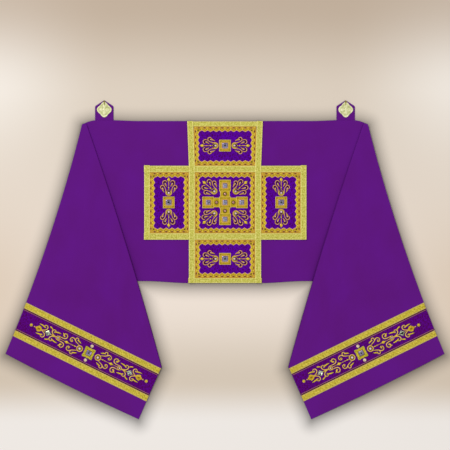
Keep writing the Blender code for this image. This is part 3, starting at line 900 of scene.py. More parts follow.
def band_axes(side):
    """The matrix that puts a level drawing on the band, its X running along the band inwards."""
    middle = (BAND_LOW + BAND_HIGH) / 2
    centre = end_place(side, BAND_SETTING_ACROSS, middle)
    beside = end_place(side, 1.0, middle)
    angle = math.atan2(beside.y - centre.y, beside.x - centre.x)
    return Matrix.Translation((centre.x, centre.y, 0.0)) @ Matrix.Rotation(angle, 4, "Z")


print("band centre", [round(part, 4) for part in band_axes(1).translation])

# %% [markdown]
# Galloon is a woven braid with a firm cord at each edge, the selvedge, and a small lattice in
# its body. The lattice and the selvedges are real relief here, since the braid is the boldest
# line on the veil and catches light from the side. Its faces near the edges get a paler finish.

# %% Braid
LATTICE = 11.0 * MM
LATTICE_RISE = 0.10 * MM
SELVEDGE = 0.13
SELVEDGE_RISE = 0.38 * MM
BRAID_STEP = 2.2 * MM
BRAID_ROWS = 14


def braid_rise(along, share, width):
    """Height of the braid's relief, share 0 to 1 across it."""
    edge = min(share, 1.0 - share)
    if edge < SELVEDGE:
        return SELVEDGE_RISE * math.sin(math.pi * edge / SELVEDGE)
    across = share * width
    rising = math.cos(2.0 * math.pi * (along + across) / LATTICE)
    falling = math.cos(2.0 * math.pi * (along - across) / LATTICE)
    return LATTICE_RISE * (1.0 + 0.5 * (rising + falling))


def braid(length, width, place, body, edge):
    """A strip of galloon. place(along, across) gives its middle surface, both as shares."""
    columns = max(4, round(length / BRAID_STEP))

    def spot(column, row):
        along, across = column / columns, row / BRAID_ROWS
        point = place(along, across)
        return point + Vector((0.0, 0.0, braid_rise(along * length, across, width)))

    def chart(column, row):
        return column / columns * length, row / BRAID_ROWS * width

    strip = laid_grid(columns, BRAID_ROWS, spot, chart, body, edge)
    layer = strip.data.uv_layers.active.data
    for face in strip.data.polygons:
        across = sum(layer[loop].uv.y for loop in face.loop_indices) / len(face.loop_indices) / width
        if min(across, 1.0 - across) < SELVEDGE:
            face.material_index = 1
    return smoothed(thickened(strip, TRIM_THICK), 35.0)


LEVEL_DROP = {"galloon_level_top": 1.2 * MM, "galloon_level_upper": 2.0 * MM}


def level_box(name):
    """The place of a level galloon. The two upper ones lie a little lower than their nodes."""
    low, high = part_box(name)
    drop = Vector((0.0, LEVEL_DROP.get(name, 0.0), 0.0))
    return low - drop, high - drop


def galloon_node_strip(name, body, edge):
    """A level galloon of the cross, as long and as wide as its node."""
    low, high = level_box(name)
    middle = low.z + TRIM_THICK / 2

    def place(along, across):
        return Vector((low.x + (high.x - low.x) * along, low.y + (high.y - low.y) * across, middle))

    strip = braid(high.x - low.x, high.y - low.y, place, body, edge)
    dressed(swollen(strip), f"{name}_braid", "gold_galloon", name)
    return strip


LEVEL = ("galloon_level_top", "galloon_level_upper", "galloon_level_lower", "galloon_level_bottom")
for name in LEVEL:
    strip = galloon_node_strip(name, GALLOON_FINISH, SELVEDGE_FINISH)
print(len(strip.data.polygons), "faces in the last strip")

# %% [markdown]
# The upright galloons pass over the level ones, so each has a low hump at every crossing. Above
# the bar the pair spreads a little, as it does on the real veil. Both are worked out from where
# the level strips lie. Widths and places follow the photograph, a few millimetres off the nodes.

# %% Upright galloons
LAP = 6.0 * MM
HUMP = TRIM_THICK + SEAM_GAP
UPRIGHT_TUCK = 6.4 * MM
TOP_FLARE = 5.8 * MM
CROSSED = [level_box(name) for name in LEVEL]
BAR_HIGH = CROSSED[1][1].y
CROSS_TOP = CROSSED[0][1].y
UPRIGHT_WIDTH = 20.3 * MM
BAR_END_WIDTH = {-1: 19.0 * MM, 1: 20.0 * MM}
BAR_END_TUCK = {-1: 1.9 * MM, 1: -0.6 * MM}


def hump(y):
    """Lift of an upright galloon at this height up the cross."""
    most = 0.0
    for low, high in CROSSED:
        near = max(low.y - y, y - high.y, 0.0)
        most = max(most, HUMP * (1.0 - ease((near - 1.0 * MM) / (LAP - 1.0 * MM))))
    return most


def upright(name, side, width):
    """A galloon that runs up the cross, its outer edge on side -1 or 1."""
    low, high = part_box(name)
    flared = name.startswith("galloon_upright")
    reach = max(abs(low.x), abs(high.x)) - (UPRIGHT_TUCK if flared else BAR_END_TUCK[side])

    def place(along, across):
        y = low.y + (high.y - low.y) * along
        spread = TOP_FLARE * max(0.0, (y - BAR_HIGH) / (CROSS_TOP - BAR_HIGH)) if flared else 0.0
        x = side * (reach + spread) - width * (across if side > 0 else across - 1.0)
        return Vector((x, y, low.z + TRIM_THICK / 2 + hump(y)))

    strip = braid(high.y - low.y, width, place, GALLOON_FINISH, SELVEDGE_FINISH)
    dressed(swollen(strip), f"{name}_braid", "gold_galloon", name)


for side_name, side in (("left", -1), ("right", 1)):
    upright(f"galloon_upright_{side_name}", side, UPRIGHT_WIDTH)
    upright(f"galloon_bar_end_{side_name}", side, BAR_END_WIDTH[side])
print("upright galloons laid")

# %% [markdown]
# The galloons of the ends are the warmer gold. They slant with the hem, and the upper one
# climbs on to the hidden layer at its inner end, so they are laid with the places on the ends.

# %% Galloons and grounds of the ends
def end_strip(side, low, high):
    """The length of a strip on the end, and the place function of its middle surface."""
    length = (end_place(side, 1.0, low) - end_place(side, 0.0, low)).length
    lift = Vector((0.0, 0.0, CLOTH + SEAM_GAP + TRIM_THICK / 2))

    def place(along, across):
        along = along if side > 0 else 1.0 - along
        return end_place(side, 1.0 - along, low + (high - low) * across) + lift

    return length, place


for side_name, side in (("left", -1), ("right", 1)):
    for level, low in (("lower", HEM_DEPTH), ("upper", BAND_HIGH)):
        name = f"galloon_{side_name}_{level}"
        length, place = end_strip(side, low, low + GALLOON - SEAM_GAP)
        strip = braid(length, GALLOON, place, WARM_GALLOON_FINISH, WARM_EDGE_FINISH)
        dressed(swollen(strip), f"{name}_braid", "gold_galloon", name)
print("end galloons", round(length, 3), "m long")

# %% [markdown]
# The grounds of the panels and bands are stiff cloth. Dense stitching draws such a ground in
# between the motifs, so it is very slightly quilted. Its edges run under the galloons.

# %% Grounds
GROUND_STEP = 4.0 * MM
PUCKER = 0.10 * MM


def ground(name, width, height, place, finish, slot):
    """A thin sheet of ground. place(along, across) gives its middle surface, both as shares."""
    columns, rows = round(width / GROUND_STEP), round(height / GROUND_STEP)

    def spot(column, row):
        point = place(column / columns, row / rows)
        return point + Vector((0.0, 0.0, PUCKER * noise.noise((point.x * 90.0, point.y * 90.0, 3.0))))

    sheet = laid_grid(
        columns, rows, spot, lambda c, r: (c / columns * width, r / rows * height), finish
    )
    thickened(sheet, TRIM_THICK - PUCKER)
    dressed(swollen(smoothed(sheet)), f"{name}_ground", slot, name)


PANELS = ("middle", "top", "bottom", "left", "right")
for part in PANELS:
    low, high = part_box(f"panel_{part}")
    span = high - low
    ground(
        f"panel_{part}", span.x, span.y,
        lambda a, b: Vector((low.x + span.x * a, low.y + span.y * b, low.z + TRIM_THICK / 2)),
        PANEL_FINISH, "panel_ground",
    )
for side_name, side in (("left", -1), ("right", 1)):
    length, place = end_strip(side, BAND_LOW, BAND_HIGH)
    ground(f"band_{side_name}", length, BAND, place, BAND_FINISH, "band_ground")
print("grounds laid")

# %% [markdown]
# The embroidery is couched cord: a thick gold thread is bent into its curves and sewn down, so it
# is flat below and round above. A cord is laid from a path and a few widths along it. A scroll is
# a spiral about its own centre with a smooth lead into it, which is how such scrolls are drawn
# with compasses, and no shape here needs more than a centre, a radius and two angles.

# %% Paths and cords
CORD_SIDES = 8
CURL_STEP = 18.0


def straight(start, end, steps=4, bow=0.0):
    """A line between two points, bowed to its left by bow."""
    start, end = Vector(start), Vector(end)
    left = Vector((start.y - end.y, end.x - start.x)).normalized()
    shares = [step / steps for step in range(steps + 1)]
    return [start.lerp(end, s) + left * bow * 4.0 * s * (1.0 - s) for s in shares]


def curl(centre, radius_from, radius_to, angle_from, sweep):
    """A spiral about a centre, in degrees, anticlockwise where sweep is positive."""
    steps = max(4, round(abs(sweep) / CURL_STEP))
    path = []
    for step in range(steps + 1):
        share = step / steps
        angle = math.radians(angle_from + sweep * share)
        radius = radius_from + (radius_to - radius_from) * share
        path.append(Vector(centre) + radius * Vector((math.cos(angle), math.sin(angle))))
    return path


def led_into(start, heading, path, steps=7):
    """The path with a smooth lead before it, from a start point and a heading in degrees."""
    start, end = Vector(start), path[0]
    reach = (end - start).length
    leaving = Vector((math.cos(math.radians(heading)), math.sin(math.radians(heading)))) * reach
    arriving = (path[1] - path[0]).normalized() * reach
    lead = []
    for step in range(steps):
        t = step / steps
        lead.append(
            start * (2 * t**3 - 3 * t**2 + 1) + leaving * (t**3 - 2 * t**2 + t)
            + end * (3 * t**2 - 2 * t**3) + arriving * (t**3 - t**2)
        )
    return lead + path


def cord(path, widths, rise, finish):
    """A closed cord along a path drawn in millimetres, its width passing through the widths."""
    last = len(path) - 1
    lengths = [0.0]
    for before, after in zip(path, path[1:]):
        lengths.append(lengths[-1] + (after - before).length)
    widest = max(widths)

    def width_at(share):
        span = share * (len(widths) - 1)
        first = min(int(span), len(widths) - 2)
        return widths[first] + (widths[first + 1] - widths[first]) * ease(span - first)

    def place(column, row):
        index = min(max(column - 1, 0), last)
        heading = (path[min(index + 1, last)] - path[max(index - 1, 0)]).normalized()
        width = width_at(lengths[index] / lengths[-1])
        point = path[index]
        if column in (0, last + 2):
            point = point + heading * (0.30 * width if column else -0.30 * width)
            return Vector((point.x, point.y, 0.0)) * MM
        angle = 2.0 * math.pi * row / CORD_SIDES
        left = Vector((-heading.y, heading.x)) * math.cos(angle) * width / 2
        up = max(math.sin(angle), 0.0) * rise * (0.35 + 0.65 * width / widest)
        return Vector((point.x + left.x, point.y + left.y, up)) * MM

    def chart(column, row):
        index = min(max(column - 1, 0), last)
        return lengths[index] * MM, row / CORD_SIDES * widest * 2.0 * MM

    return laid_grid(last + 2, CORD_SIDES, place, chart, finish)


def stitched_down(pieces):
    """Joins the pieces of a motif, merges their seams and turns their faces outwards."""
    motif = joined(pieces)
    bpy.ops.object.mode_set(mode="EDIT")
    bpy.ops.mesh.select_all(action="SELECT")
    bpy.ops.mesh.remove_doubles(threshold=0.004 * MM)
    bpy.ops.mesh.dissolve_degenerate(threshold=0.001 * MM)
    bpy.ops.mesh.normals_make_consistent(inside=False)
    bpy.ops.object.mode_set(mode="OBJECT")
    return smoothed(motif, 50.0)


print("cords ready")

# %% [markdown]
# Beads, pearls and the rings round them are primitives pressed flat, as sewn beads sink into
# their bed. They are modelled lying on z = 0, like the cords, so a motif can be joined and
# then placed as one.

# %% Beads, pearls and rings
def scaled(obj, x, y, z):
    """Scales the points of an object, wherever they lie."""
    obj.data.transform(Matrix.Diagonal((x, y, z, 1.0)))
    return obj


def moved(obj, x, y, z=0.0):
    """Moves the points of an object by millimetres."""
    obj.data.transform(Matrix.Translation((x * MM, y * MM, z * MM)))
    return obj


def bead(x, y, length, width, rise, finish, segments=12, rings=8):
    """A smooth oval bead standing rise high, all in millimetres."""
    bpy.ops.mesh.primitive_uv_sphere_add(segments=segments, ring_count=rings, radius=0.5)
    ball = scaled(bpy.context.object, length * MM, width * MM, rise * MM)
    for loop in ball.data.uv_layers.active.data:
        loop.uv = (loop.uv.x * length * 3.0 * MM, loop.uv.y * width * 1.5 * MM)
    ball.data.materials.append(finish)
    return moved(ball, x, y, rise / 2)


def ring(x, y, radius, width, rise, finish):
    """A round cord ring."""
    bpy.ops.mesh.primitive_torus_add(
        major_segments=28, minor_segments=8, major_radius=radius * MM, minor_radius=width / 2 * MM
    )
    loop_cord = scaled(bpy.context.object, 1.0, 1.0, rise / width)
    for loop in loop_cord.data.uv_layers.active.data:
        loop.uv = (loop.uv.x * 2.0 * math.pi * radius * MM, loop.uv.y * math.pi * width * MM)
    loop_cord.data.materials.append(finish)
    return moved(loop_cord, x, y, rise / 2)


def disc(x, y, radius, rise, finish):
    """A flat pad of satin stitch, its upper edge drawn in."""
    bpy.ops.mesh.primitive_cylinder_add(vertices=24, radius=radius * MM, depth=rise * MM)
    pad = bpy.context.object
    bpy.ops.object.mode_set(mode="EDIT")
    bpy.ops.mesh.select_all(action="DESELECT")
    bpy.ops.object.mode_set(mode="OBJECT")
    for face in pad.data.polygons:
        face.select = face.normal.z > 0.9
    bpy.ops.object.mode_set(mode="EDIT")
    bpy.ops.mesh.inset(thickness=radius * 0.25 * MM, depth=rise * 0.4 * MM)
    bpy.ops.object.mode_set(mode="OBJECT")
    chart_flat(pad)
    pad.data.materials.append(finish)
    return moved(pad, x, y, rise / 2)


def chart_flat(obj):
    """Writes a UV map straight from above, in metres."""
    layer = obj.data.uv_layers.active.data
    for loop in obj.data.loops:
        point = obj.data.vertices[loop.vertex_index].co
        layer[loop.index].uv = (point.x, point.y)


def pearl_in_ring(x, radius, width, pearl, finish):
    """A pearl on a dark pad inside a cord ring."""
    return [
        disc(x, 0.0, radius - width * 0.4, 0.4, OLIVE_FINISH),
        ring(x, 0.0, radius, width, 1.3, finish),
        # A dark ring hugging the pearl: partly painted shadow round it.
        ring(x, 0.0, pearl * 0.56, 1.3, 0.9, DARK_THREAD_AND_SHADE_FINISH),
        bead(x, 0.0, pearl, pearl, pearl * 0.42, PEARL_FINISH, 20, 12),
    ]


print("beads ready")

# %% [markdown]
# A motif is drawn once, lying on z = 0 about its own origin, and then laid wherever it repeats. It
# is lifted on to the ground below it, and at the end the whole panel's embroidery is joined and
# given the swell of the cloth. Thread sinks in a little, so each cord also gets a darker and wider
# one below it: partly a dark line of couching and partly a painted shadow, which draw its outline on the
# violet.

# %% Laying motifs
def laid(motif, x=0.0, y=0.0, angle=0.0, base=GROUND_TOP):
    """A copy of a motif at a place in metres, turned by an angle in degrees, on a level."""
    return copied(motif, Matrix.Translation((x, y, base)) @ Matrix.Rotation(math.radians(angle), 4, "Z"))


def mirrored(pieces):
    """The pieces and their mirror images across the X axis."""
    return pieces + [copied(piece, Matrix.Diagonal((1.0, -1.0, 1.0, 1.0))) for piece in pieces]


def outlined(path, widths, rise, finish):
    """A cord and a wider dark one under it, partly a line of couching and partly a painted shadow."""
    wider = [width + 2.1 for width in widths]
    return [cord(path, widths, rise, finish), cord(path, wider, 0.30, DARK_THREAD_AND_SHADE_FINISH)]


def removed(*objects):
    """Deletes the drawings that were only there to be copied."""
    for obj in objects:
        bpy.data.objects.remove(obj)


print("laying ready")

# %% [markdown]
# The palmette: a pearl in a cup, whose two arms run out into a pair of scrolls. From each arm
# springs a second scroll, nearer the stem. A leaf with a bead lies in the hollow of each of the
# four, and the stem between them ends in a bright bud.

# %% Palmette
def draw_leaf(start, end, bow, head):
    """A leaf of gold satin in a peach outline, with a bead at its head."""
    path = straight(start, end, 7, bow)
    return [
        *outlined(path, (4.4, 5.8, 4.6, 2.4, 1.4), 0.95, CORD_FINISH),
        cord(path[:6], (2.6, 3.6, 3.0, 0.8), 1.35, SATIN_FINISH),
        bead(*start, 4.0, 3.8, 2.1, head),
    ]


def draw_palmette():
    """A palmette that grows along +X from the middle of its ring, in millimetres."""
    round_ring = curl((0.0, 0.0), 11.0, 10.6, 180.0, -96.0)
    outer_curl = curl((18.8, 22.4), 6.6, 6.2, -52.0, 240.0)
    outer_scroll = round_ring[:-1] + led_into(round_ring[-1], -4.0, outer_curl)
    inner_curl = curl((34.6, 13.4), 8.0, 7.0, 112.0, -190.0)
    inner_scroll = led_into((24.4, 17.6), 55.0, inner_curl)
    half = outlined(outer_scroll, (2.4, 2.6, 2.6, 2.8, 2.8, 2.6), 1.25, CORD_FINISH)
    half += outlined(inner_scroll, (1.6, 2.7, 2.8, 2.4), 1.20, CORD_FINISH)
    # Dark pads in the hearts of the two scrolls: partly painted shade.
    half += [disc(18.8, 22.4, 4.6, 0.40, DARK_THREAD_AND_SHADE_FINISH), disc(35.2, 13.4, 5.0, 0.40, DARK_THREAD_AND_SHADE_FINISH)]
    half += draw_leaf((15.4, 21.2), (0.6, 16.0), -1.6, ROSE_PEARL_FINISH)
    half += draw_leaf((31.8, 12.6), (20.6, 6.2), -0.8, ROSE_PEARL_FINISH)
    cup_fill = curl((0.0, 0.0), 7.9, 7.9, 180.0, -122.0)
    half.append(cord(cup_fill, (4.2, 4.4, 4.6, 2.8), 1.05, YELLOW_SATIN_FINISH))
    half += outlined(straight((3.2, 3.4), (9.8, 6.8), 4, 0.8), (1.4, 1.6, 1.2), 0.95, CORD_FINISH)
    whole = mirrored(half)
    whole += outlined(straight((18.0, 0.0), (40.0, 0.0), 7), (1.6, 1.8, 3.0, 2.8, 1.6), 1.00, CORD_FINISH)
    whole += outlined(
        straight((38.0, 0.0), (53.0, 0.0), 9), (1.2, 5.0, 9.6, 10.8, 8.4, 3.6, 1.2), 1.60, BRIGHT_FINISH
    )
    whole += outlined(straight((8.2, 0.0), (13.6, 0.0), 4), (3.8, 3.4, 1.2), 0.95, SATIN_FINISH)
    whole.append(bead(16.8, 0.0, 5.4, 4.8, 1.9, BRIGHT_FINISH))
    # A dark pad under the pearl, which shows round it as partly painted shadow.
    whole.append(disc(0.0, 0.0, 6.4, 0.5, DARK_THREAD_AND_SHADE_FINISH))
    whole.append(bead(-1.6, 0.0, 7.6, 7.2, 3.0, PEARL_FINISH, 20, 12))
    return stitched_down(whole)


palmette = draw_palmette()
print("palmette:", len(palmette.data.polygons), "faces")

# %% [markdown]
# The border of each panel is a row of pointed satin petals. A side has a whole number of them,
# counted from its middle, at a pitch of its own, and its ends are mitred by never reaching
# further in than they are along. Between the petals and the galloon runs a chain of brown dashes
# and yellow knots on an orange gold ground.

# %% Scalloped border
PETAL_TIP = 19.8
PETAL_VALLEY = 14.3
PETAL_POINT = 1.30
DASH_LINE = 5.4
CHAIN_DEPTH = 8.6
PETAL_COLUMNS = 12
PETAL_ROWS = 10
TUCK = 1.0
BORDER_RISE = 0.42
PETAL_RISE = 0.85


def petal_phase(x, count, pitch):
    """-1 to 1 across a petal, 0 at its tip, for a side with this many petals."""
    turn = x / pitch + (0.0 if count % 2 else 0.5)
    return 2.0 * (turn - round(turn))


def petal_edge(x, count, pitch):
    """How far the border reaches in from the galloon."""
    point = (1.0 - abs(petal_phase(x, count, pitch))) ** PETAL_POINT
    return PETAL_VALLEY + (PETAL_TIP - PETAL_VALLEY) * point


def border_side(length, count, pitch, finish):
    """Satin petals along a side: X along it from its middle, Y inwards from its edge."""
    steps = round(length / pitch * PETAL_COLUMNS)
    half = length / 2 + TUCK

    def spot(column, row):
        x = half * (2.0 * column / steps - 1.0)
        edge = petal_edge(x, count, pitch)
        reach = min(edge, length / 2 - abs(x))
        if row in (0, PETAL_ROWS + 2):
            return Vector((x, -TUCK, 0.0)) * MM
        if row == PETAL_ROWS + 1:
            return Vector((x, reach, 0.0)) * MM
        y = -TUCK + (reach + TUCK) * (row - 1) / (PETAL_ROWS - 1)
        crown = math.sqrt(max(1.0 - petal_phase(x, count, pitch) ** 2, 0.0)) * ease((y - 3.0) / 6.0)
        rise = 0.15 + (BORDER_RISE - 0.15) * ease((y + TUCK) / 2.5) + (PETAL_RISE - BORDER_RISE) * crown
        rise *= 1.0 - 0.65 * ease((y - reach + 2.0) / 2.0)
        return Vector((x, y, rise if reach > -TUCK else 0.0)) * MM

    def chart(column, row):
        return spot(column, row).x, spot(column, row).y

    side = laid_grid(steps, PETAL_ROWS + 2, spot, chart, finish, CHAIN_FINISH)
    for face in side.data.polygons:
        face.material_index = 1 if face.center.y < CHAIN_DEPTH * MM else 0
    return side


def border_edge_cord(length, count, pitch):
    """The light cord that outlines the petals of one side."""
    most = length / 2 - PETAL_VALLEY
    steps = round(2.0 * most / pitch * 10)
    xs = [most * (2.0 * step / steps - 1.0) for step in range(steps + 1)]
    path = [Vector((x, min(petal_edge(x, count, pitch), length / 2 - abs(x)) - 0.6)) for x in xs]
    return cord(path, (2.2, 2.2), 0.80, CORD_FINISH)


def border_dash():
    """A brown dash below the tip of a petal, with a light stitch inside it."""
    return [
        bead(0.0, DASH_LINE, 8.8, 3.6, 1.0, DASH_FINISH, 10, 6),
        bead(0.0, DASH_LINE + 3.3, 5.6, 1.6, 1.0, CORD_FINISH, 8, 6),
    ]


def between_petals(x):
    """A knot between two dashes, a bright one in the valley above it and stitches beside that."""
    return [
        bead(x, DASH_LINE + 0.4, 6.4, 5.0, 1.1, BRIGHT_FINISH, 10, 6),
        bead(x, 11.0, 4.2, 3.8, 1.5, LEMON_FINISH, 8, 6),
        bead(x - 4.4, 10.8, 1.6, 4.2, 0.9, OLIVE_FINISH, 8, 6),
        bead(x + 4.4, 10.8, 1.6, 4.2, 0.9, OLIVE_FINISH, 8, 6),
    ]


def corner_knots():
    """Dark knots and a light one for a corner at the origin that opens to +X and +Y."""
    return stitched_down([
        bead(14.6, 14.6, 6.6, 6.0, 1.5, OLIVE_FINISH, 10, 6),
        bead(14.6, 14.6, 3.6, 3.4, 2.2, DARK_THREAD_AND_SHADE_FINISH, 8, 6),
        bead(4.6, 4.6, 4.6, 4.6, 1.2, BRIGHT_FINISH, 8, 6),
        bead(18.0, 11.0, 3.4, 1.8, 1.3, DASH_FINISH, 8, 6),
        bead(11.0, 18.0, 1.8, 3.4, 1.3, DASH_FINISH, 8, 6),
    ])


dash = stitched_down(border_dash())
links = stitched_down(between_petals(0.0))
knots = corner_knots()


def border(left, low, right, high, across, up):
    """A border inside an opening in metres, with petals and their pitch across and up."""
    centre = Vector(((left + right) / 2, (low + high) / 2))
    width, height = (right - left) / MM, (high - low) / MM
    pieces = []
    sides = (
        (width, across, height, 0.0, PETAL_FINISH), (height, up, width, 90.0, BRIGHT_PETAL_FINISH),
        (width, across, height, 180.0, PETAL_FINISH), (height, up, width, 270.0, BRIGHT_PETAL_FINISH),
    )
    for length, (count, pitch), other, angle, finish in sides:
        side = [border_side(length, count, pitch, finish), border_edge_cord(length, count, pitch)]
        for place in range(2 * count - 1):
            along = (place / 2 - (count - 1) / 2) * pitch
            stitches = links if place % 2 else dash
            side.append(copied(stitches, Matrix.Translation((along * MM, 0.0, 0.30 * MM))))
        side.append(copied(knots, Matrix.Translation((-length / 2 * MM, 0.0, 0.15 * MM))))
        whole = joined(side)
        whole.data.transform(Matrix.Translation((0.0, -other / 2 * MM, 0.0)))
        pieces.append(laid(whole, centre.x, centre.y, angle))
        removed(whole)
    return stitched_down(pieces)


print("border pieces:", len(dash.data.polygons), len(links.data.polygons), len(knots.data.polygons), "faces")

# %% [markdown]
# A setting is a square of gold satin, built up like a picture frame: a light rim, a flat, a body
# of long stitches mitred at the corners, and a raised bezel round the pocket for the stone. Each
# step of the frame is one inset with its own width and rise.

# %% Settings and links
FRAME_STEPS = (
    (1.1, 0.35), (0.9, 0.00), (0.6, -0.45), (3.1, 0.30), (3.1, -0.20), (0.7, 0.70), (0.8, 0.00), (0.4, -0.50),
)
FRAME_BASE = 0.9
SETTING = 40.0
LONE_SETTING = 40.6
SETTING_STEP = 59.0
STONE, LONE_STONE, BAND_STONE = 16.0, 19.2, 16.5
LONE_POCKET = 19.4
LINK_WIDTH, LINK_RIM = 33.0, 1.8


def select_top(obj):
    """Selects the highest level faces of a mesh and goes into edit mode."""
    pick(obj)
    bpy.ops.object.mode_set(mode="EDIT")
    bpy.ops.mesh.select_all(action="DESELECT")
    bpy.ops.object.mode_set(mode="OBJECT")
    top = max(vertex.co.z for vertex in obj.data.vertices)
    for face in obj.data.polygons:
        face.select = face.normal.z > 0.99 and face.center.z > top - 0.001 * MM
    bpy.ops.object.mode_set(mode="EDIT")
    bpy.ops.mesh.select_mode(type="FACE")


def stepped_block(width, length, base, steps):
    """A block in millimetres whose top is inset and raised step by step."""
    bpy.ops.mesh.primitive_cube_add(size=1.0)
    block = scaled(bpy.context.object, width * MM, length * MM, base * MM)
    moved(block, 0.0, 0.0, base / 2)
    select_top(block)
    for inward, upward in steps:
        bpy.ops.mesh.inset(thickness=inward * MM, depth=upward * MM)
    bpy.ops.object.mode_set(mode="OBJECT")
    return block


def chart_mitred(obj):
    """A UV map in metres whose U runs along the nearest side of a square about the origin."""
    layer = obj.data.uv_layers.active.data
    for face in obj.data.polygons:
        upright = abs(face.center.x) > abs(face.center.y)
        for loop in face.loop_indices:
            point = obj.data.vertices[obj.data.loops[loop].vertex_index].co
            layer[loop].uv = (point.y, point.x) if upright else (point.x, point.y)


def draw_setting(size, stone):
    """A square setting about the origin, with a pocket for a stone of this size."""
    room = (size - stone) / 2 - 1.4
    stretch = room / sum(inward for inward, _ in FRAME_STEPS)
    steps = [(inward * stretch, upward) for inward, upward in FRAME_STEPS]
    frame_block = stepped_block(size, size, FRAME_BASE, steps)
    for finish in (SETTING_FINISH, RIM_FINISH, CORD_FINISH, OLIVE_FINISH):
        frame_block.data.materials.append(finish)
    edges = [sum(inward for inward, _ in steps[:count]) for count in range(len(steps) + 1)]
    for face in frame_block.data.polygons:
        inset = size / 2 - max(abs(face.center.x), abs(face.center.y)) / MM
        if inset < edges[2]:
            face.material_index = 1
        elif inset < edges[3]:
            face.material_index = 3
        elif edges[5] < inset < edges[7]:
            face.material_index = 2
    chart_mitred(frame_block)
    corner = size / 2 - 5.4
    marks = []
    for turn in range(4):
        mark = bead(0.0, 0.0, 5.0, 2.6, 1.0, OLIVE_FINISH, 8, 6)
        mark.data.transform(Matrix.Rotation(math.radians(45.0), 4, "Z"))
        moved(mark, corner, corner, 0.55)
        mark.data.transform(Matrix.Rotation(math.radians(90.0 * turn), 4, "Z"))
        marks.append(mark)
    soft = frame_block.modifiers.new("soft_edges", "BEVEL")
    soft.width = 0.16 * MM
    soft.segments = 2
    soft.angle_limit = math.radians(20.0)
    apply_modifiers(frame_block)
    return stitched_down([frame_block, *marks])


def draw_link():
    """The bar between two settings, along X, with a stud in a ring at its middle."""
    length = SETTING_STEP - SETTING + 0.6
    bar = stepped_block(length, LINK_WIDTH, 0.8, ((0.9, 0.30), (0.9, 0.0), (0.7, -0.40), (1.8, 0.15)))
    for finish in (SETTING_FINISH, RIM_FINISH):
        bar.data.materials.append(finish)
    for face in bar.data.polygons:
        if LINK_WIDTH / 2 - abs(face.center.y) / MM < LINK_RIM:
            face.material_index = 1
    chart_mitred(bar)
    return stitched_down([
        bar,
        moved(ring(0.0, 0.0, 6.4, 2.6, 1.0, OLIVE_FINISH), 0.0, 0.0, 0.6),
        moved(ring(0.0, 0.0, 4.6, 1.2, 0.9, DARK_THREAD_AND_SHADE_FINISH), 0.0, 0.0, 0.6),
        moved(bead(0.0, 0.0, 8.0, 8.0, 2.6, STUD_FINISH, 20, 12), 0.0, 0.0, 0.4),
    ])


setting = draw_setting(SETTING, STONE)
lone_setting = draw_setting(LONE_SETTING, LONE_POCKET)
link = draw_link()
print("setting:", len(setting.data.polygons), "faces")

# %% [markdown]
# A sewn-on stone is cut in steps: a girdle with its corners taken off, two rows of facets and a
# small table. Each facet of the lower row is poked to a point, which gives the eight small stars
# that make such stones glitter. Facets stay flat-shaded. The facets on one side get a painted
# highlight and those across from them a painted shade, each with a finish of its own. The foil lights the
# facets on one side
# and leaves those across from them dark, so these have finishes of their own.

# %% Cut stones
TABLE_NORMAL = 0.97
FACET_TURN = 0.18


def draw_stone(size, height, finish, shine=None):
    """A cut stone on z = 0, in millimetres, with a painted highlight on the facets towards shine and a
    painted shade on those away from it.
    """
    bpy.ops.mesh.primitive_cube_add(size=1.0)
    stone = scaled(bpy.context.object, size * MM, size * MM, 0.30 * height * MM)
    moved(stone, 0.0, 0.0, 0.15 * height)
    pick(stone)
    bpy.ops.object.mode_set(mode="EDIT")
    bpy.ops.mesh.select_all(action="DESELECT")
    bpy.ops.mesh.select_mode(type="EDGE")
    bpy.ops.object.mode_set(mode="OBJECT")
    for edge in stone.data.edges:
        start, end = (stone.data.vertices[index].co for index in edge.vertices)
        edge.select = abs(start.z - end.z) > 0.1 * MM
    bpy.ops.object.mode_set(mode="EDIT")
    bpy.ops.mesh.bevel(offset=0.10 * size * MM, segments=1)
    bpy.ops.object.mode_set(mode="OBJECT")
    select_top(stone)
    bpy.ops.mesh.inset(thickness=0.13 * size * MM, depth=0.38 * height * MM)
    bpy.ops.mesh.inset(thickness=0.12 * size * MM, depth=0.22 * height * MM)
    bpy.ops.mesh.inset(thickness=0.06 * size * MM, depth=0.10 * height * MM)
    bpy.ops.mesh.select_all(action="DESELECT")
    bpy.ops.object.mode_set(mode="OBJECT")
    for face in stone.data.polygons:
        face.select = 0.3 < face.normal.z < TABLE_NORMAL and face.center.z < 0.6 * height * MM
    bpy.ops.object.mode_set(mode="EDIT")
    bpy.ops.mesh.poke(offset=0.03 * height * MM)
    bpy.ops.object.mode_set(mode="OBJECT")
    layer = stone.data.uv_layers.active.data
    for loop in stone.data.loops:
        point = stone.data.vertices[loop.vertex_index].co
        layer[loop.index].uv = (point.x / (size * MM / 2), point.y / (size * MM / 2))
    for shade in (finish, PAINTED_HIGHLIGHT_FACET_FINISH, PAINTED_SHADE_FACET_FINISH):
        stone.data.materials.append(shade)
    # Facets towards shine get the painted highlight, those across from them the painted shade.
    for face in stone.data.polygons:
        towards = face.normal.xy.dot(shine) if shine else 0.0
        if face.normal.z < TABLE_NORMAL and abs(towards) > FACET_TURN:
            face.material_index = 1 if towards > 0.0 else 2
    return stone


STONE_HEIGHT = 3.0
# The directions from which the stones' facets get their painted highlight.
SIDEWAYS_SHINE = Vector((-0.90, -0.45))
DOWNWARD_SHINE = Vector((-0.25, -0.95))
CROSS_STONES = ("centre", "north", "south", "west", "east")
LONE_STONES = ("top", "bottom", "left", "right")
STONES = [(part, STONE, STONE_FINISH, SIDEWAYS_SHINE) for part in CROSS_STONES]
STONES += [(part, LONE_STONE, LONE_STONE_FINISH, DOWNWARD_SHINE) for part in LONE_STONES]


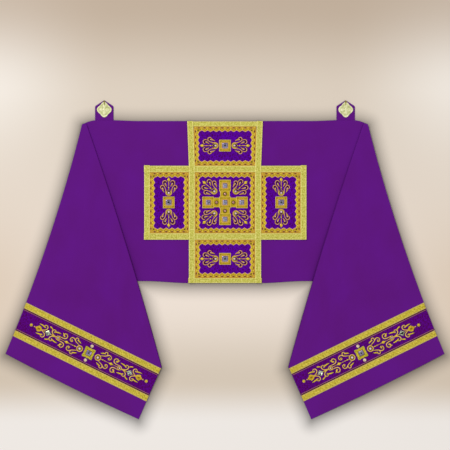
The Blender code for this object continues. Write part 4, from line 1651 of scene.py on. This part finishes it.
def set_stone(node, size, finish, shine, turn=0.0):
    """A cut stone in the place of its node."""
    low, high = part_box(node)
    stone = draw_stone(size, STONE_HEIGHT, finish, shine)
    stone.data.transform(Matrix.Rotation(turn, 4, "Z"))
    stone.data.transform(Matrix.Translation(((low.x + high.x) / 2, (low.y + high.y) / 2, low.z)))
    return dressed(swollen(stone), f"{node}_cut", "stone_glass", node)


for part, size, finish, shine in STONES:
    stone = set_stone(f"stone_{part}", size, finish, shine)
print("stone:", len(stone.data.polygons), "faces")

# %% [markdown]
# Now each panel gets its embroidery. Where the galloons leave it open follows from their boxes.
# The middle panel holds a cross of five settings with a palmette in each quarter. The others hold
# one larger setting between two palmettes.

# %% Embroidery of the panels
CROSS_Y = 0.2005
PALMETTE_REACH = 34.6 * MM
QUARTER = (38.4 * MM, 39.6 * MM)
QUARTER_ANGLE = 41.4


def opening(part):
    """The lowest and highest corner of a panel that the galloons leave open."""
    inner_low, inner_high = CROSSED[2][1].y, CROSSED[1][0].y
    outer_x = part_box("galloon_bar_end_right")[0].x
    upright_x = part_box("galloon_upright_right")[1].x - UPRIGHT_TUCK
    inner_x = upright_x - UPRIGHT_WIDTH
    top_x = inner_x + 0.5 * TOP_FLARE
    places = {
        "middle": (-inner_x, inner_low, inner_x, inner_high),
        "top": (-top_x, CROSSED[1][1].y, top_x, CROSSED[0][0].y),
        "bottom": (-inner_x, CROSSED[3][1].y, inner_x, CROSSED[2][0].y),
        "left": (-outer_x, inner_low, -upright_x, inner_high),
        "right": (upright_x, inner_low, outer_x, inner_high),
    }
    return places[part]


def middle_embroidery():
    """Five settings with links, and a palmette in each quarter."""
    step = SETTING_STEP * MM
    pieces = [laid(setting, 0.0, CROSS_Y)]
    for turn in range(4):
        angle = math.radians(90.0 * turn)
        along = Vector((math.cos(angle), math.sin(angle)))
        pieces.append(laid(setting, step * along.x, CROSS_Y + step * along.y))
        pieces.append(laid(link, step / 2 * along.x, CROSS_Y + step / 2 * along.y, 90.0 * turn))
    for side in (1, -1):
        for height in (1, -1):
            angle = QUARTER_ANGLE * height if side > 0 else 180.0 - QUARTER_ANGLE * height
            pieces.append(laid(palmette, side * QUARTER[0], CROSS_Y + height * QUARTER[1], angle))
    return pieces


def lone_embroidery(part, turn):
    """One larger setting and a palmette on either side of it."""
    low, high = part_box(f"stone_{part}")
    x, y = (low.x + high.x) / 2, (low.y + high.y) / 2
    pieces = [laid(lone_setting, x, y)]
    for angle in (turn, turn + 180.0):
        away = Vector((math.cos(math.radians(angle)), math.sin(math.radians(angle)))) * PALMETTE_REACH
        pieces.append(laid(palmette, x + away.x, y + away.y, angle))
    return pieces


PETALS = {
    "middle": ((10, 19.5), (10, 19.8)), "top": ((10, 20.3), (6, 20.5)), "bottom": ((10, 19.9), (6, 20.5)),
    "left": ((6, 20.3), (10, 20.2)), "right": ((6, 20.3), (10, 20.2)),
}
for part in PANELS:
    if part == "middle":
        pieces = middle_embroidery()
    else:
        pieces = lone_embroidery(part, 0.0 if part in ("top", "bottom") else 90.0)
    pieces.append(border(*opening(part), *PETALS[part]))
    dressed(swollen(joined(pieces)), f"panel_{part}_embroidery", "panel_ground", f"panel_{part}")
removed(palmette, setting, lone_setting, link, dash, links, knots)
print("panels embroidered")

# %% [markdown]
# The bands carry a long arabesque that unrolls from a setting at the middle. It is the same on
# both sides of the band's centre line and at both ends, so a quarter of it is drawn. Along the
# way stand pearls, a bright drop, a pale diamond of glass, a bud and a small star.

# %% Arabesque
def draw_arabesque():
    """Half of a band's arabesque, growing along +X from the middle of the band, in millimetres."""
    first_scroll = led_into((41.0, 9.5), 25.0, curl((72.0, 15.0), 10.5, 4.0, 150.0, -300.0))
    first_hook = led_into((62.0, 18.0), 90.0, curl((56.0, 25.0), 6.5, 3.5, -30.0, 230.0))
    back_scroll = led_into((119.0, 8.0), 190.0, curl((100.5, 18.0), 9.5, 4.0, 200.0, -280.0))
    far_scroll = led_into((127.0, 1.0), 0.0, curl((140.0, 14.5), 9.0, 4.0, -60.0, 250.0))
    last_scroll = led_into((184.0, 1.0), 165.0, curl((175.0, 15.5), 8.5, 4.0, 200.0, -250.0))
    taper = (2.2, 3.4, 3.6, 3.2, 2.6)
    half = []
    for path in (first_scroll, first_hook, back_scroll, far_scroll, last_scroll):
        half += outlined(path, taper, 1.20, HONEY_FINISH)
    leaves = (
        (straight((54.0, 23.5), (38.5, 18.0), 5, -0.8), (3.2, 4.0, 1.2)),
        (straight((101.0, 15.5), (110.5, 23.5), 5, 0.8), (2.6, 4.4, 1.2)),
        (straight((137.0, 14.5), (116.5, 17.8), 5, -1.0), (3.4, 4.2, 1.2)),
        (straight((147.5, 17.0), (160.5, 23.8), 5, 1.2), (2.2, 3.4, 4.0)),
        (straight((178.0, 14.0), (198.0, 17.2), 5, 1.0), (3.2, 3.8, 1.2)),
        (straight((184.0, 1.5), (199.0, 9.5), 5, 2.2), (2.0, 2.6, 1.4)),
    )
    for path, widths in leaves:
        half += outlined(path, [width + 0.7 for width in widths], 1.10, BRIGHT_FINISH)
    for x, y, size in ((72.0, 14.5, 5.4), (101.0, 15.3, 5.2), (138.2, 13.6, 5.2), (175.6, 14.6, 4.6)):
        half.append(bead(x, y, size, size, 1.9, BRIGHT_FINISH))
    whole = mirrored(half)
    whole += outlined(straight((46.0, 0.0), (80.0, 0.0), 6), (2.6, 2.0, 1.6, 1.5), 1.00, CORD_FINISH)
    whole += outlined(straight((77.5, 0.0), (95.5, 0.0), 7), (1.4, 6.0, 11.0, 5.0, 0.9), 1.70, BRIGHT_FINISH)
    whole += outlined(straight((95.0, 0.0), (114.0, 0.0), 5), (1.2, 1.8, 3.0), 1.00, CORD_FINISH)
    whole += outlined(straight((126.0, 0.0), (148.0, 0.0), 5), (2.6, 4.0, 2.0), 1.20, BRIGHT_FINISH)
    whole += outlined(straight((169.0, 0.0), (181.0, 0.0), 5), (1.4, 2.2, 2.6), 1.00, CORD_FINISH)
    bud_line = straight((180.0, 0.0), (208.5, 0.0), 9)
    whole += outlined(bud_line, (2.0, 13.0, 21.0, 13.0, 1.2), 1.50, SATIN_FINISH)
    whole.append(bead(194.5, 0.0, 9.0, 5.0, 3.3, OLIVE_FINISH))
    whole.append(bead(54.0, 0.0, 6.4, 4.2, 1.9, BRIGHT_FINISH))
    whole.append(bead(62.5, 0.0, 4.0, 3.6, 1.7, BRIGHT_FINISH))
    whole.append(bead(210.8, 0.0, 5.2, 4.8, 2.0, CORD_FINISH))
    whole += draw_star(223.6)
    whole += pearl_in_ring(35.5, 10.0, 2.8, 8.6, HONEY_FINISH)
    whole += pearl_in_ring(120.0, 6.6, 2.4, 5.6, HONEY_FINISH)
    return stitched_down(whole)


def draw_star(x):
    """A small star of four crossing stitches with a bead on it."""
    rays = []
    for turn in range(4):
        ray = bead(0.0, 0.0, 12.6, 3.4, 1.5, BRIGHT_FINISH, 10, 6)
        ray.data.transform(Matrix.Rotation(math.radians(45.0 * turn), 4, "Z"))
        rays.append(moved(ray, x, 0.0))
    return rays + [bead(x, 0.0, 5.4, 5.4, 2.6, BRIGHT_FINISH)]


arabesque = draw_arabesque()
print("arabesque:", len(arabesque.data.polygons), "faces")

# %% [markdown]
# The band's own setting is a square of yellow satin whose sides are drawn in and whose rim is
# scalloped, with a dark bezel round the stone. A grid does this well: its columns and rows are
# bent in at the middle of each side, and its height follows the distance from the edge.

# %% Setting of the band
BAND_CORNER = 19.0
BAND_WAIST = 17.9
BAND_STEPS = 48
BAND_RIM = 0.80


def band_setting_height(edge, along):
    """Height in millimetres at a share of the way to the edge, and at a place along that edge."""
    rim = 0.35 * math.sin(math.pi * min(max((edge - BAND_RIM) / (1.0 - BAND_RIM), 0.0), 1.0))
    waves = 0.16 * math.cos(2.0 * math.pi * 5.0 * along) * ease((edge - 0.55) / 0.3)
    bezel = 0.80 * math.exp(-(((edge - 0.52) / 0.055) ** 2))
    pocket = -0.30 * (1.0 - ease((edge - 0.40) / 0.10))
    return 0.95 + rim + waves + bezel + pocket - 0.55 * ease((edge - 0.96) / 0.04)


def draw_band_setting():
    """The setting about the origin, in millimetres."""
    def spot(column, row):
        u, v = 2.0 * column / BAND_STEPS - 1.0, 2.0 * row / BAND_STEPS - 1.0
        edge = max(abs(u), abs(v))
        along = v if abs(u) > abs(v) else u
        lobes = 0.55 * math.cos(2.0 * math.pi * 1.5 * along) * ease((edge - 0.7) / 0.3)
        span_u = BAND_WAIST + (BAND_CORNER - BAND_WAIST) * v * v + lobes
        span_v = BAND_WAIST + (BAND_CORNER - BAND_WAIST) * u * u + lobes
        return Vector((u * span_u, v * span_v, band_setting_height(edge, along))) * MM

    def chart(column, row):
        point = spot(column, row)
        return (point.y, point.x) if abs(point.x) > abs(point.y) else (point.x, point.y)

    block = laid_grid(BAND_STEPS, BAND_STEPS, spot, chart, YELLOW_SATIN_FINISH, OLIVE_FINISH)
    for face in block.data.polygons:
        edge = max(abs(face.center.x), abs(face.center.y)) / MM / BAND_WAIST
        diagonal = abs(abs(face.center.x) - abs(face.center.y)) < 1.1 * MM and 0.62 < edge < 0.86
        if edge < 0.60 or diagonal:
            face.material_index = 1
    return stitched_down([thickened(block, 0.8 * MM)])


band_setting = draw_band_setting()
print("band setting:", len(band_setting.data.polygons), "faces")

# %% Embroider the bands
PIPING = 36.8 * MM
PIPING_SHADOW = 40.0 * MM
PIPING_STEPS = 60
DIAMOND, DIAMOND_HEIGHT = 14.6, 1.6
DIAMOND_X, DIAMOND_LIFT = 158.5 * MM, 0.2 * MM
CREAM_PEARL, CREAM_PEARL_Y = 11.4, 27.0


def piping(side, offset, width, rise, finish):
    """A cord along the band at a distance from its centre line."""
    up = (BAND_LOW + BAND_HIGH) / 2 + offset
    start, end = end_place(side, 0.004, up), end_place(side, 0.996, up)
    path = straight((start.x / MM, start.y / MM), (end.x / MM, end.y / MM), PIPING_STEPS)
    return cord(path, (width, width), rise, finish)


def embroider_band(side_name, side):
    """The arabesque twice, the setting, two pearls, two lines of piping and a dark line beside each that is
    partly painted shadow.
    """
    axes = band_axes(side)
    pieces = []
    for turn in (0.0, math.pi):
        whole = axes @ Matrix.Rotation(turn, 4, "Z")
        pieces.append(copied(arabesque, whole))
        diamond = draw_stone(DIAMOND, DIAMOND_HEIGHT, GREEN_STONE_FINISH)
        place = Matrix.Translation((DIAMOND_X, 0.0, DIAMOND_LIFT)) @ Matrix.Rotation(math.pi / 4, 4, "Z")
        diamond.data.transform(place)
        diamond.data.transform(whole)
        pieces.append(diamond)
        pearl = bead(0.0, CREAM_PEARL_Y, CREAM_PEARL, CREAM_PEARL, 4.0, CREAM_PEARL_FINISH, 20, 12)
        pearl.data.transform(whole)
        pieces.append(pearl)
    pieces.append(copied(band_setting, axes))
    for sign in (1, -1):
        pieces.append(piping(side, sign * PIPING, 2.2, 1.1, PIPING_FINISH))
        # Beside each piping, a dark line that is partly painted shadow.
        pieces.append(piping(side, sign * PIPING_SHADOW, 3.4, 0.6, DARK_THREAD_AND_SHADE_FINISH))
    whole = rested_on_end(joined(pieces), GROUND_TOP)
    dressed(swollen(whole), f"band_{side_name}_embroidery", "band_ground", f"band_{side_name}")


for side_name, side in (("left", -1), ("right", 1)):
    embroider_band(side_name, side)
    axes = band_axes(side)
    angle = math.atan2(axes[1][0], axes[0][0])
    set_stone(f"stone_band_{side_name}", BAND_STONE, LONE_STONE_FINISH, DOWNWARD_SHINE, angle)
removed(arabesque, band_setting)
print("bands embroidered")

# %% [markdown]
# A tab stands at each shoulder: the same cloth, pointed at the top, with a row of stitches round
# its edge. It carries half of a clasp, a cast lozenge with a rolled rim and four petals, and a
# small dark tongue over its upper point.

# %% Tabs
TAB_X = 0.4223
TAB_HALF = 0.0323
TAB_THICK = 1.5 * MM
TAB_TIP_Y = 0.5580
TAB_SHOULDER_Y = 0.5385
TAB_CORNER = 0.93
STITCH_INSET = 3.2
STITCH_STEP = 3.0


def tab_top(share):
    """Upper edge of a tab at a share of its half width, its corners a little rounded."""
    peak = TAB_TIP_Y - (TAB_TIP_Y - TAB_SHOULDER_Y) * min(abs(share), TAB_CORNER) / TAB_CORNER
    return peak - 0.0035 * ease((abs(share) - TAB_CORNER) / (1.0 - TAB_CORNER))


def stitch_row(points, every, finish):
    """Small slanting stitches along a line of points in millimetres."""
    stitch = bead(0.0, 0.0, 2.1, 0.8, 0.5, finish, 6, 4)
    row = []
    left_over = 0.0
    for start, end in zip(points, points[1:]):
        start, end = Vector(start), Vector(end)
        along = end - start
        reach = left_over
        while reach < along.length:
            spot = start + along.normalized() * reach
            turn = math.atan2(along.y, along.x)
            place = Matrix.Translation((spot.x * MM, spot.y * MM, 0.0)) @ Matrix.Rotation(turn, 4, "Z")
            row.append(copied(stitch, place))
            reach += every
        left_over = reach - along.length
    removed(stitch)
    return joined(row)


def sew_tab(side_name, side):
    """A tab of cloth with a row of stitches inside its edge."""
    low = upper_edge_y(TAB_X) + SEAM_GAP

    def place(column, row):
        share = 2.0 * column / 28 - 1.0
        y = low + (tab_top(share) - low) * row / 30
        puff = 0.25 * MM * math.sin(math.pi * row / 30) * math.cos(math.pi / 2 * share)
        return Vector((side * TAB_X + share * TAB_HALF, y, TAB_THICK / 2 + puff))

    def chart(column, row):
        return column / 28 * 2.0 * TAB_HALF, row / 30 * (TAB_TIP_Y - low)

    sheet = laid_grid(28, 30, place, chart, CLOTH_FINISH)
    thickened(sheet, TAB_THICK, 0.3 * MM)
    x, half = side * TAB_X / MM, TAB_HALF / MM - STITCH_INSET
    shoulder, tip, foot = TAB_SHOULDER_Y / MM - 1.2, TAB_TIP_Y / MM - 3.9, low / MM + 1.0
    line = [(x - half, foot), (x - half, shoulder), (x, tip), (x + half, shoulder), (x + half, foot)]
    seam = moved(stitch_row(line, STITCH_STEP, SEAM_FINISH), 0.0, 0.0, TAB_THICK / MM - 0.1)
    tab = swollen(smoothed(sheet, 50.0))
    tab = dressed(tab, f"tab_{side_name}_cloth", "purple_cloth", f"tab_{side_name}")
    dressed(swollen(seam), f"tab_{side_name}_stitches", "purple_cloth")


for side_name, side in (("left", -1), ("right", 1)):
    sew_tab(side_name, side)
print("tabs sewn")

# %% Clasps
CLASP_Y = 0.5250
CLASP_HALF_WIDTH = 0.0256
CLASP_HALF_HEIGHT = 0.0268
CLASP_LOBE = 0.11
CLASP_BASE = 1.8 * MM
CLASP_RINGS = 34
CLASP_TURNS = 96


def clasp_point(angle, scale):
    """A point on the outline of the clasp about its centre, or on a smaller one inside it."""
    reach = scale * (1.0 + CLASP_LOBE * math.cos(4.0 * angle)) / (1.0 + CLASP_LOBE)
    return Vector((CLASP_HALF_WIDTH * reach * math.cos(angle), CLASP_HALF_HEIGHT * reach * math.sin(angle)))


def clasp_relief(share, angle):
    """Height of the casting in millimetres: a rolled rim, a channel, four petals and a boss."""
    rim = 0.55 * math.sin(math.pi * min(max((share - 0.82) / 0.18, 0.0), 1.0)) ** 0.7
    rim *= 0.75 + 0.25 * math.cos(20.0 * angle)
    petal = max(math.cos(4.0 * angle), -0.35) * 0.50 + 0.40
    petal += 0.12 * math.cos(12.0 * angle) * ease((share - 0.35) / 0.2)
    vein = 0.22 * math.exp(-((math.sin(2.0 * angle) / 0.16) ** 2))
    petals = (petal - vein) * math.sin(math.pi * min(share / 0.78, 1.0)) * ease(share / 0.25)
    boss = 0.9 * math.sqrt(max(1.0 - (share / 0.17) ** 2, 0.0))
    return 1.1 + rim + petals + boss


def cast_clasp(side_name, side):
    """A clasp half with its tongue, in the place of its node."""
    def place(column, row):
        angle = 2.0 * math.pi * column / CLASP_TURNS
        if row > CLASP_RINGS:
            flat = clasp_point(angle, 0.97 if row == CLASP_RINGS + 1 else 0.0)
            return Vector((flat.x, flat.y, 0.0))
        flat = clasp_point(angle, row / CLASP_RINGS)
        return Vector((flat.x, flat.y, clasp_relief(row / CLASP_RINGS, angle) * MM))

    plate = laid_grid(
        CLASP_TURNS, CLASP_RINGS + 2, place, lambda c, r: tuple(place(c, r).xy), CLASP_FINISH, HOLLOW_FINISH
    )
    for face in plate.data.polygons:
        point = face.center
        share = point.xy.length / CLASP_HALF_WIDTH
        low = point.z < 1.42 * MM and 0.2 < share < 0.78
        face.material_index = 1 if low and point.z > 0.5 * MM else 0
    tip = CLASP_HALF_HEIGHT / MM
    tongue = cord(
        straight((0.0, tip + 5.0), (0.0, tip - 12.5), 14), (2.6, 4.4, 4.2, 3.6, 2.0), 3.9, TONGUE_FINISH
    )
    loop_ring = moved(ring(0.0, tip + 1.2, 2.6, 1.6, 1.6, TONGUE_FINISH), 0.0, 0.0, 2.4)
    whole = stitched_down([plate, tongue, loop_ring])
    whole.data.transform(Matrix.Translation((side * TAB_X, CLASP_Y, CLASP_BASE)))
    dressed(swollen(whole), f"clasp_{side_name}_cast", "clasp_metal", f"clasp_{side_name}")


for side_name, side in (("left", -1), ("right", 1)):
    cast_clasp(side_name, side)
print("clasps cast")

# %% [markdown]
# The floor is plain and pale. In the studio it is lit a little unevenly: greyer above, warmer
# below, brighter beside the shoulders and a little darker beside the ends. Thick cloth also
# keeps the light off the floor close by. All of this is painted light and shade in the floor's colour:
# a ramp up its length, two soft bumps at the sides, and a painted shadow that fades out 64 mm from the veil.
# Each point of the floor gets its distance from the veil as an attribute.

# %% Floor
FLOOR_SIZE = 9.0
FLOOR_FINE = 1.05
FLOOR_CELLS = 240
FLOOR_DROP = 0.1 * MM
PAINTED_SHADOW_REACH = 64.0 * MM
PAINTED_SHADOW_DEPTH = 0.62
PAINTED_SHADOW_DROP = 6.0 * MM
PAINTED_SHADOW_FALL = 1.8
SEARCH_REACH = 1.5 * PAINTED_SHADOW_REACH
FLOOR_STOPS = (
    (0.000, (0.845, 0.800, 0.760)),
    (0.056, (0.845, 0.800, 0.760)),
    (0.156, (0.655, 0.562, 0.460)),
    (0.333, (0.822, 0.723, 0.636)),
    (0.778, (0.680, 0.591, 0.494)),
    (1.000, (0.500, 0.402, 0.312)),
)
SIDE_LIGHT, SIDE_LIGHT_Y, SIDE_LIGHT_SPAN = 0.25, 0.66, 0.27
SIDE_SHADE, SIDE_SHADE_Y, SIDE_SHADE_SPAN = -0.14, -0.12, 0.26
SIDE_FROM, SIDE_TO = 0.38, 0.85
SIDE_TINT = (1.00, 1.35, 1.85)


def lay_floor():
    """A floor with fine cells under the camera, which know how far they are from the veil."""
    bpy.ops.mesh.primitive_grid_add(
        x_subdivisions=FLOOR_CELLS, y_subdivisions=FLOOR_CELLS, size=2.0 * FLOOR_FINE,
        location=(0.0, CAMERA_Y, 0.0),
    )
    floor = bpy.context.object
    bpy.ops.object.transform_apply(location=True)
    bpy.ops.object.mode_set(mode="EDIT")
    bpy.ops.mesh.select_all(action="SELECT")
    bpy.ops.mesh.region_to_loop()
    bpy.ops.mesh.extrude_edges_move()
    scale = FLOOR_SIZE / 2.0 / FLOOR_FINE
    bpy.ops.transform.resize(value=(scale, scale, 1.0), center_override=(0.0, CAMERA_Y, 0.0))
    bpy.ops.object.mode_set(mode="OBJECT")
    # Distances for the floor's painted shadow, measured from points a little up the floor so that the shadow
    # falls lower.
    above = BVHTree.FromObject(veil, bpy.context.evaluated_depsgraph_get())
    distance = floor.data.attributes.new("distance", "FLOAT", "POINT")
    for vertex in floor.data.vertices:
        spot = vertex.co + Vector((0.0, PAINTED_SHADOW_DROP, 0.0))
        nearest = above.find_nearest(spot, SEARCH_REACH)[0]
        flat = PAINTED_SHADOW_REACH if nearest is None else (nearest.xy - spot.xy).length
        distance.data[vertex.index].value = min(flat, PAINTED_SHADOW_REACH)
        vertex.co.z = -FLOOR_DROP
    return floor


def bell(tree, value, centre, span, height):
    """A smooth bump of this height over a value."""
    away = calculated(tree, "DIVIDE", calculated(tree, "SUBTRACT", value, centre), span)
    squared = calculated(tree, "MULTIPLY", away, away)
    fall = calculated(tree, "EXPONENT", calculated(tree, "MULTIPLY", squared, -1.0))
    return calculated(tree, "MULTIPLY", fall, height)


def floor_finish():
    """Matt pale card, with painted light and shade up its length and a painted shadow close to the veil."""
    made, tree, shader = new_material("pale_floor", 0.9)
    split = tree.nodes.new("ShaderNodeSeparateXYZ")
    tree.links.new(tree.nodes.new("ShaderNodeTexCoord").outputs["Object"], split.inputs[0])
    height = tree.nodes.new("ShaderNodeMapRange")
    tree.links.new(split.outputs["Y"], height.inputs["Value"])
    height.inputs["From Min"].default_value = CAMERA_Y - VIEW_WIDTH / 2
    height.inputs["From Max"].default_value = CAMERA_Y + VIEW_WIDTH / 2
    # Painted light and shade up the floor's length.
    ramp = tree.nodes.new("ShaderNodeValToRGB")
    tree.links.new(height.outputs[0], ramp.inputs[0])
    ramp.color_ramp.interpolation = "EASE"
    while len(ramp.color_ramp.elements) < len(FLOOR_STOPS):
        ramp.color_ramp.elements.new(0.5)
    for element, (position, colour) in zip(ramp.color_ramp.elements, FLOOR_STOPS):
        element.position = position
        element.color = (*colour, 1.0)
    # Painted shadow close to the veil, from each point's distance to it.
    beside = tree.nodes.new("ShaderNodeAttribute")
    beside.attribute_name = "distance"
    near = calculated(tree, "MULTIPLY_ADD", beside.outputs["Fac"], -1.0 / PAINTED_SHADOW_REACH, 1.0)
    near = calculated(tree, "POWER", calculated(tree, "MAXIMUM", near, 0.0), PAINTED_SHADOW_FALL)
    shade = calculated(tree, "MULTIPLY_ADD", near, -PAINTED_SHADOW_DEPTH, 1.0)
    # Painted light beside the shoulders and painted shade beside the ends.
    aside = tree.nodes.new("ShaderNodeMapRange")
    aside.interpolation_type = "SMOOTHSTEP"
    tree.links.new(calculated(tree, "ABSOLUTE", split.outputs["X"]), aside.inputs["Value"])
    aside.inputs["From Min"].default_value = SIDE_FROM
    aside.inputs["From Max"].default_value = SIDE_TO
    light = bell(tree, split.outputs["Y"], SIDE_LIGHT_Y, SIDE_LIGHT_SPAN, SIDE_LIGHT)
    dark = bell(tree, split.outputs["Y"], SIDE_SHADE_Y, SIDE_SHADE_SPAN, SIDE_SHADE)
    lift = calculated(tree, "MULTIPLY", aside.outputs[0], calculated(tree, "ADD", light, dark))
    tinted = tree.nodes.new("ShaderNodeVectorMath")
    tinted.operation = "MULTIPLY_ADD"
    tree.links.new(lift, tinted.inputs[0])
    tinted.inputs[1].default_value = SIDE_TINT
    tinted.inputs[2].default_value = (1.0, 1.0, 1.0)
    lit = tree.nodes.new("ShaderNodeVectorMath")
    lit.operation = "MULTIPLY"
    tree.links.new(ramp.outputs[0], lit.inputs[0])
    tree.links.new(tinted.outputs[0], lit.inputs[1])
    scale = tree.nodes.new("ShaderNodeVectorMath")
    scale.operation = "SCALE"
    tree.links.new(lit.outputs[0], scale.inputs[0])
    tree.links.new(shade, scale.inputs["Scale"])
    tree.links.new(scale.outputs[0], shader.inputs["Base Color"])
    shader.inputs["Specular IOR Level"].default_value = 0.0
    return made


CAMERA_Y = 0.1216
CAMERA_HEIGHT = 4.5
VIEW_WIDTH = 1.575
floor = lay_floor()
floor.name = "floor"
floor.data.materials.append(floor_finish())
print("floor laid")

# %% [markdown]
# The light is soft and nearly even: a white surround, one wide lamp high up towards the veil's
# upper left for the relief of the embroidery, and a weaker one opposite. The camera looks
# straight down from 4.5 m, so that the frame is 1.575 m wide on the cloth.

# %% Light and camera
def area_lamp(name, place, aim, size, power):
    """A square soft lamp at a place, turned towards a point."""
    data = bpy.data.lights.new(name, "AREA")
    data.size = size
    data.energy = power
    lamp = bpy.data.objects.new(name, data)
    lamp.location = place
    lamp.rotation_euler = (Vector(aim) - Vector(place)).to_track_quat("-Z", "Y").to_euler()
    bpy.context.scene.collection.objects.link(lamp)


area_lamp("key", (-4.0, 5.0, 6.5), (0.0, 0.1, 0.0), 3.0, 440.0)
area_lamp("fill", (4.5, -4.0, 6.5), (0.0, 0.1, 0.0), 3.0, 122.0)
world = bpy.data.worlds.new("surround")
world.use_nodes = True
world.node_tree.nodes["Background"].inputs["Color"].default_value = (1.0, 1.0, 1.0, 1.0)
world.node_tree.nodes["Background"].inputs["Strength"].default_value = 0.555
bpy.context.scene.world = world
bpy.context.scene.view_settings.view_transform = "Standard"

lens = bpy.data.cameras.new("camera")
lens.sensor_fit = "HORIZONTAL"
lens.sensor_width = 36.0
lens.lens = lens.sensor_width * CAMERA_HEIGHT / VIEW_WIDTH
lens.clip_end = 30.0
camera = bpy.data.objects.new("camera", lens)
camera.location = (0.0, CAMERA_Y, CAMERA_HEIGHT)
bpy.context.scene.collection.objects.link(camera)
bpy.context.scene.camera = camera
print("camera lens", round(lens.lens, 2), "mm")
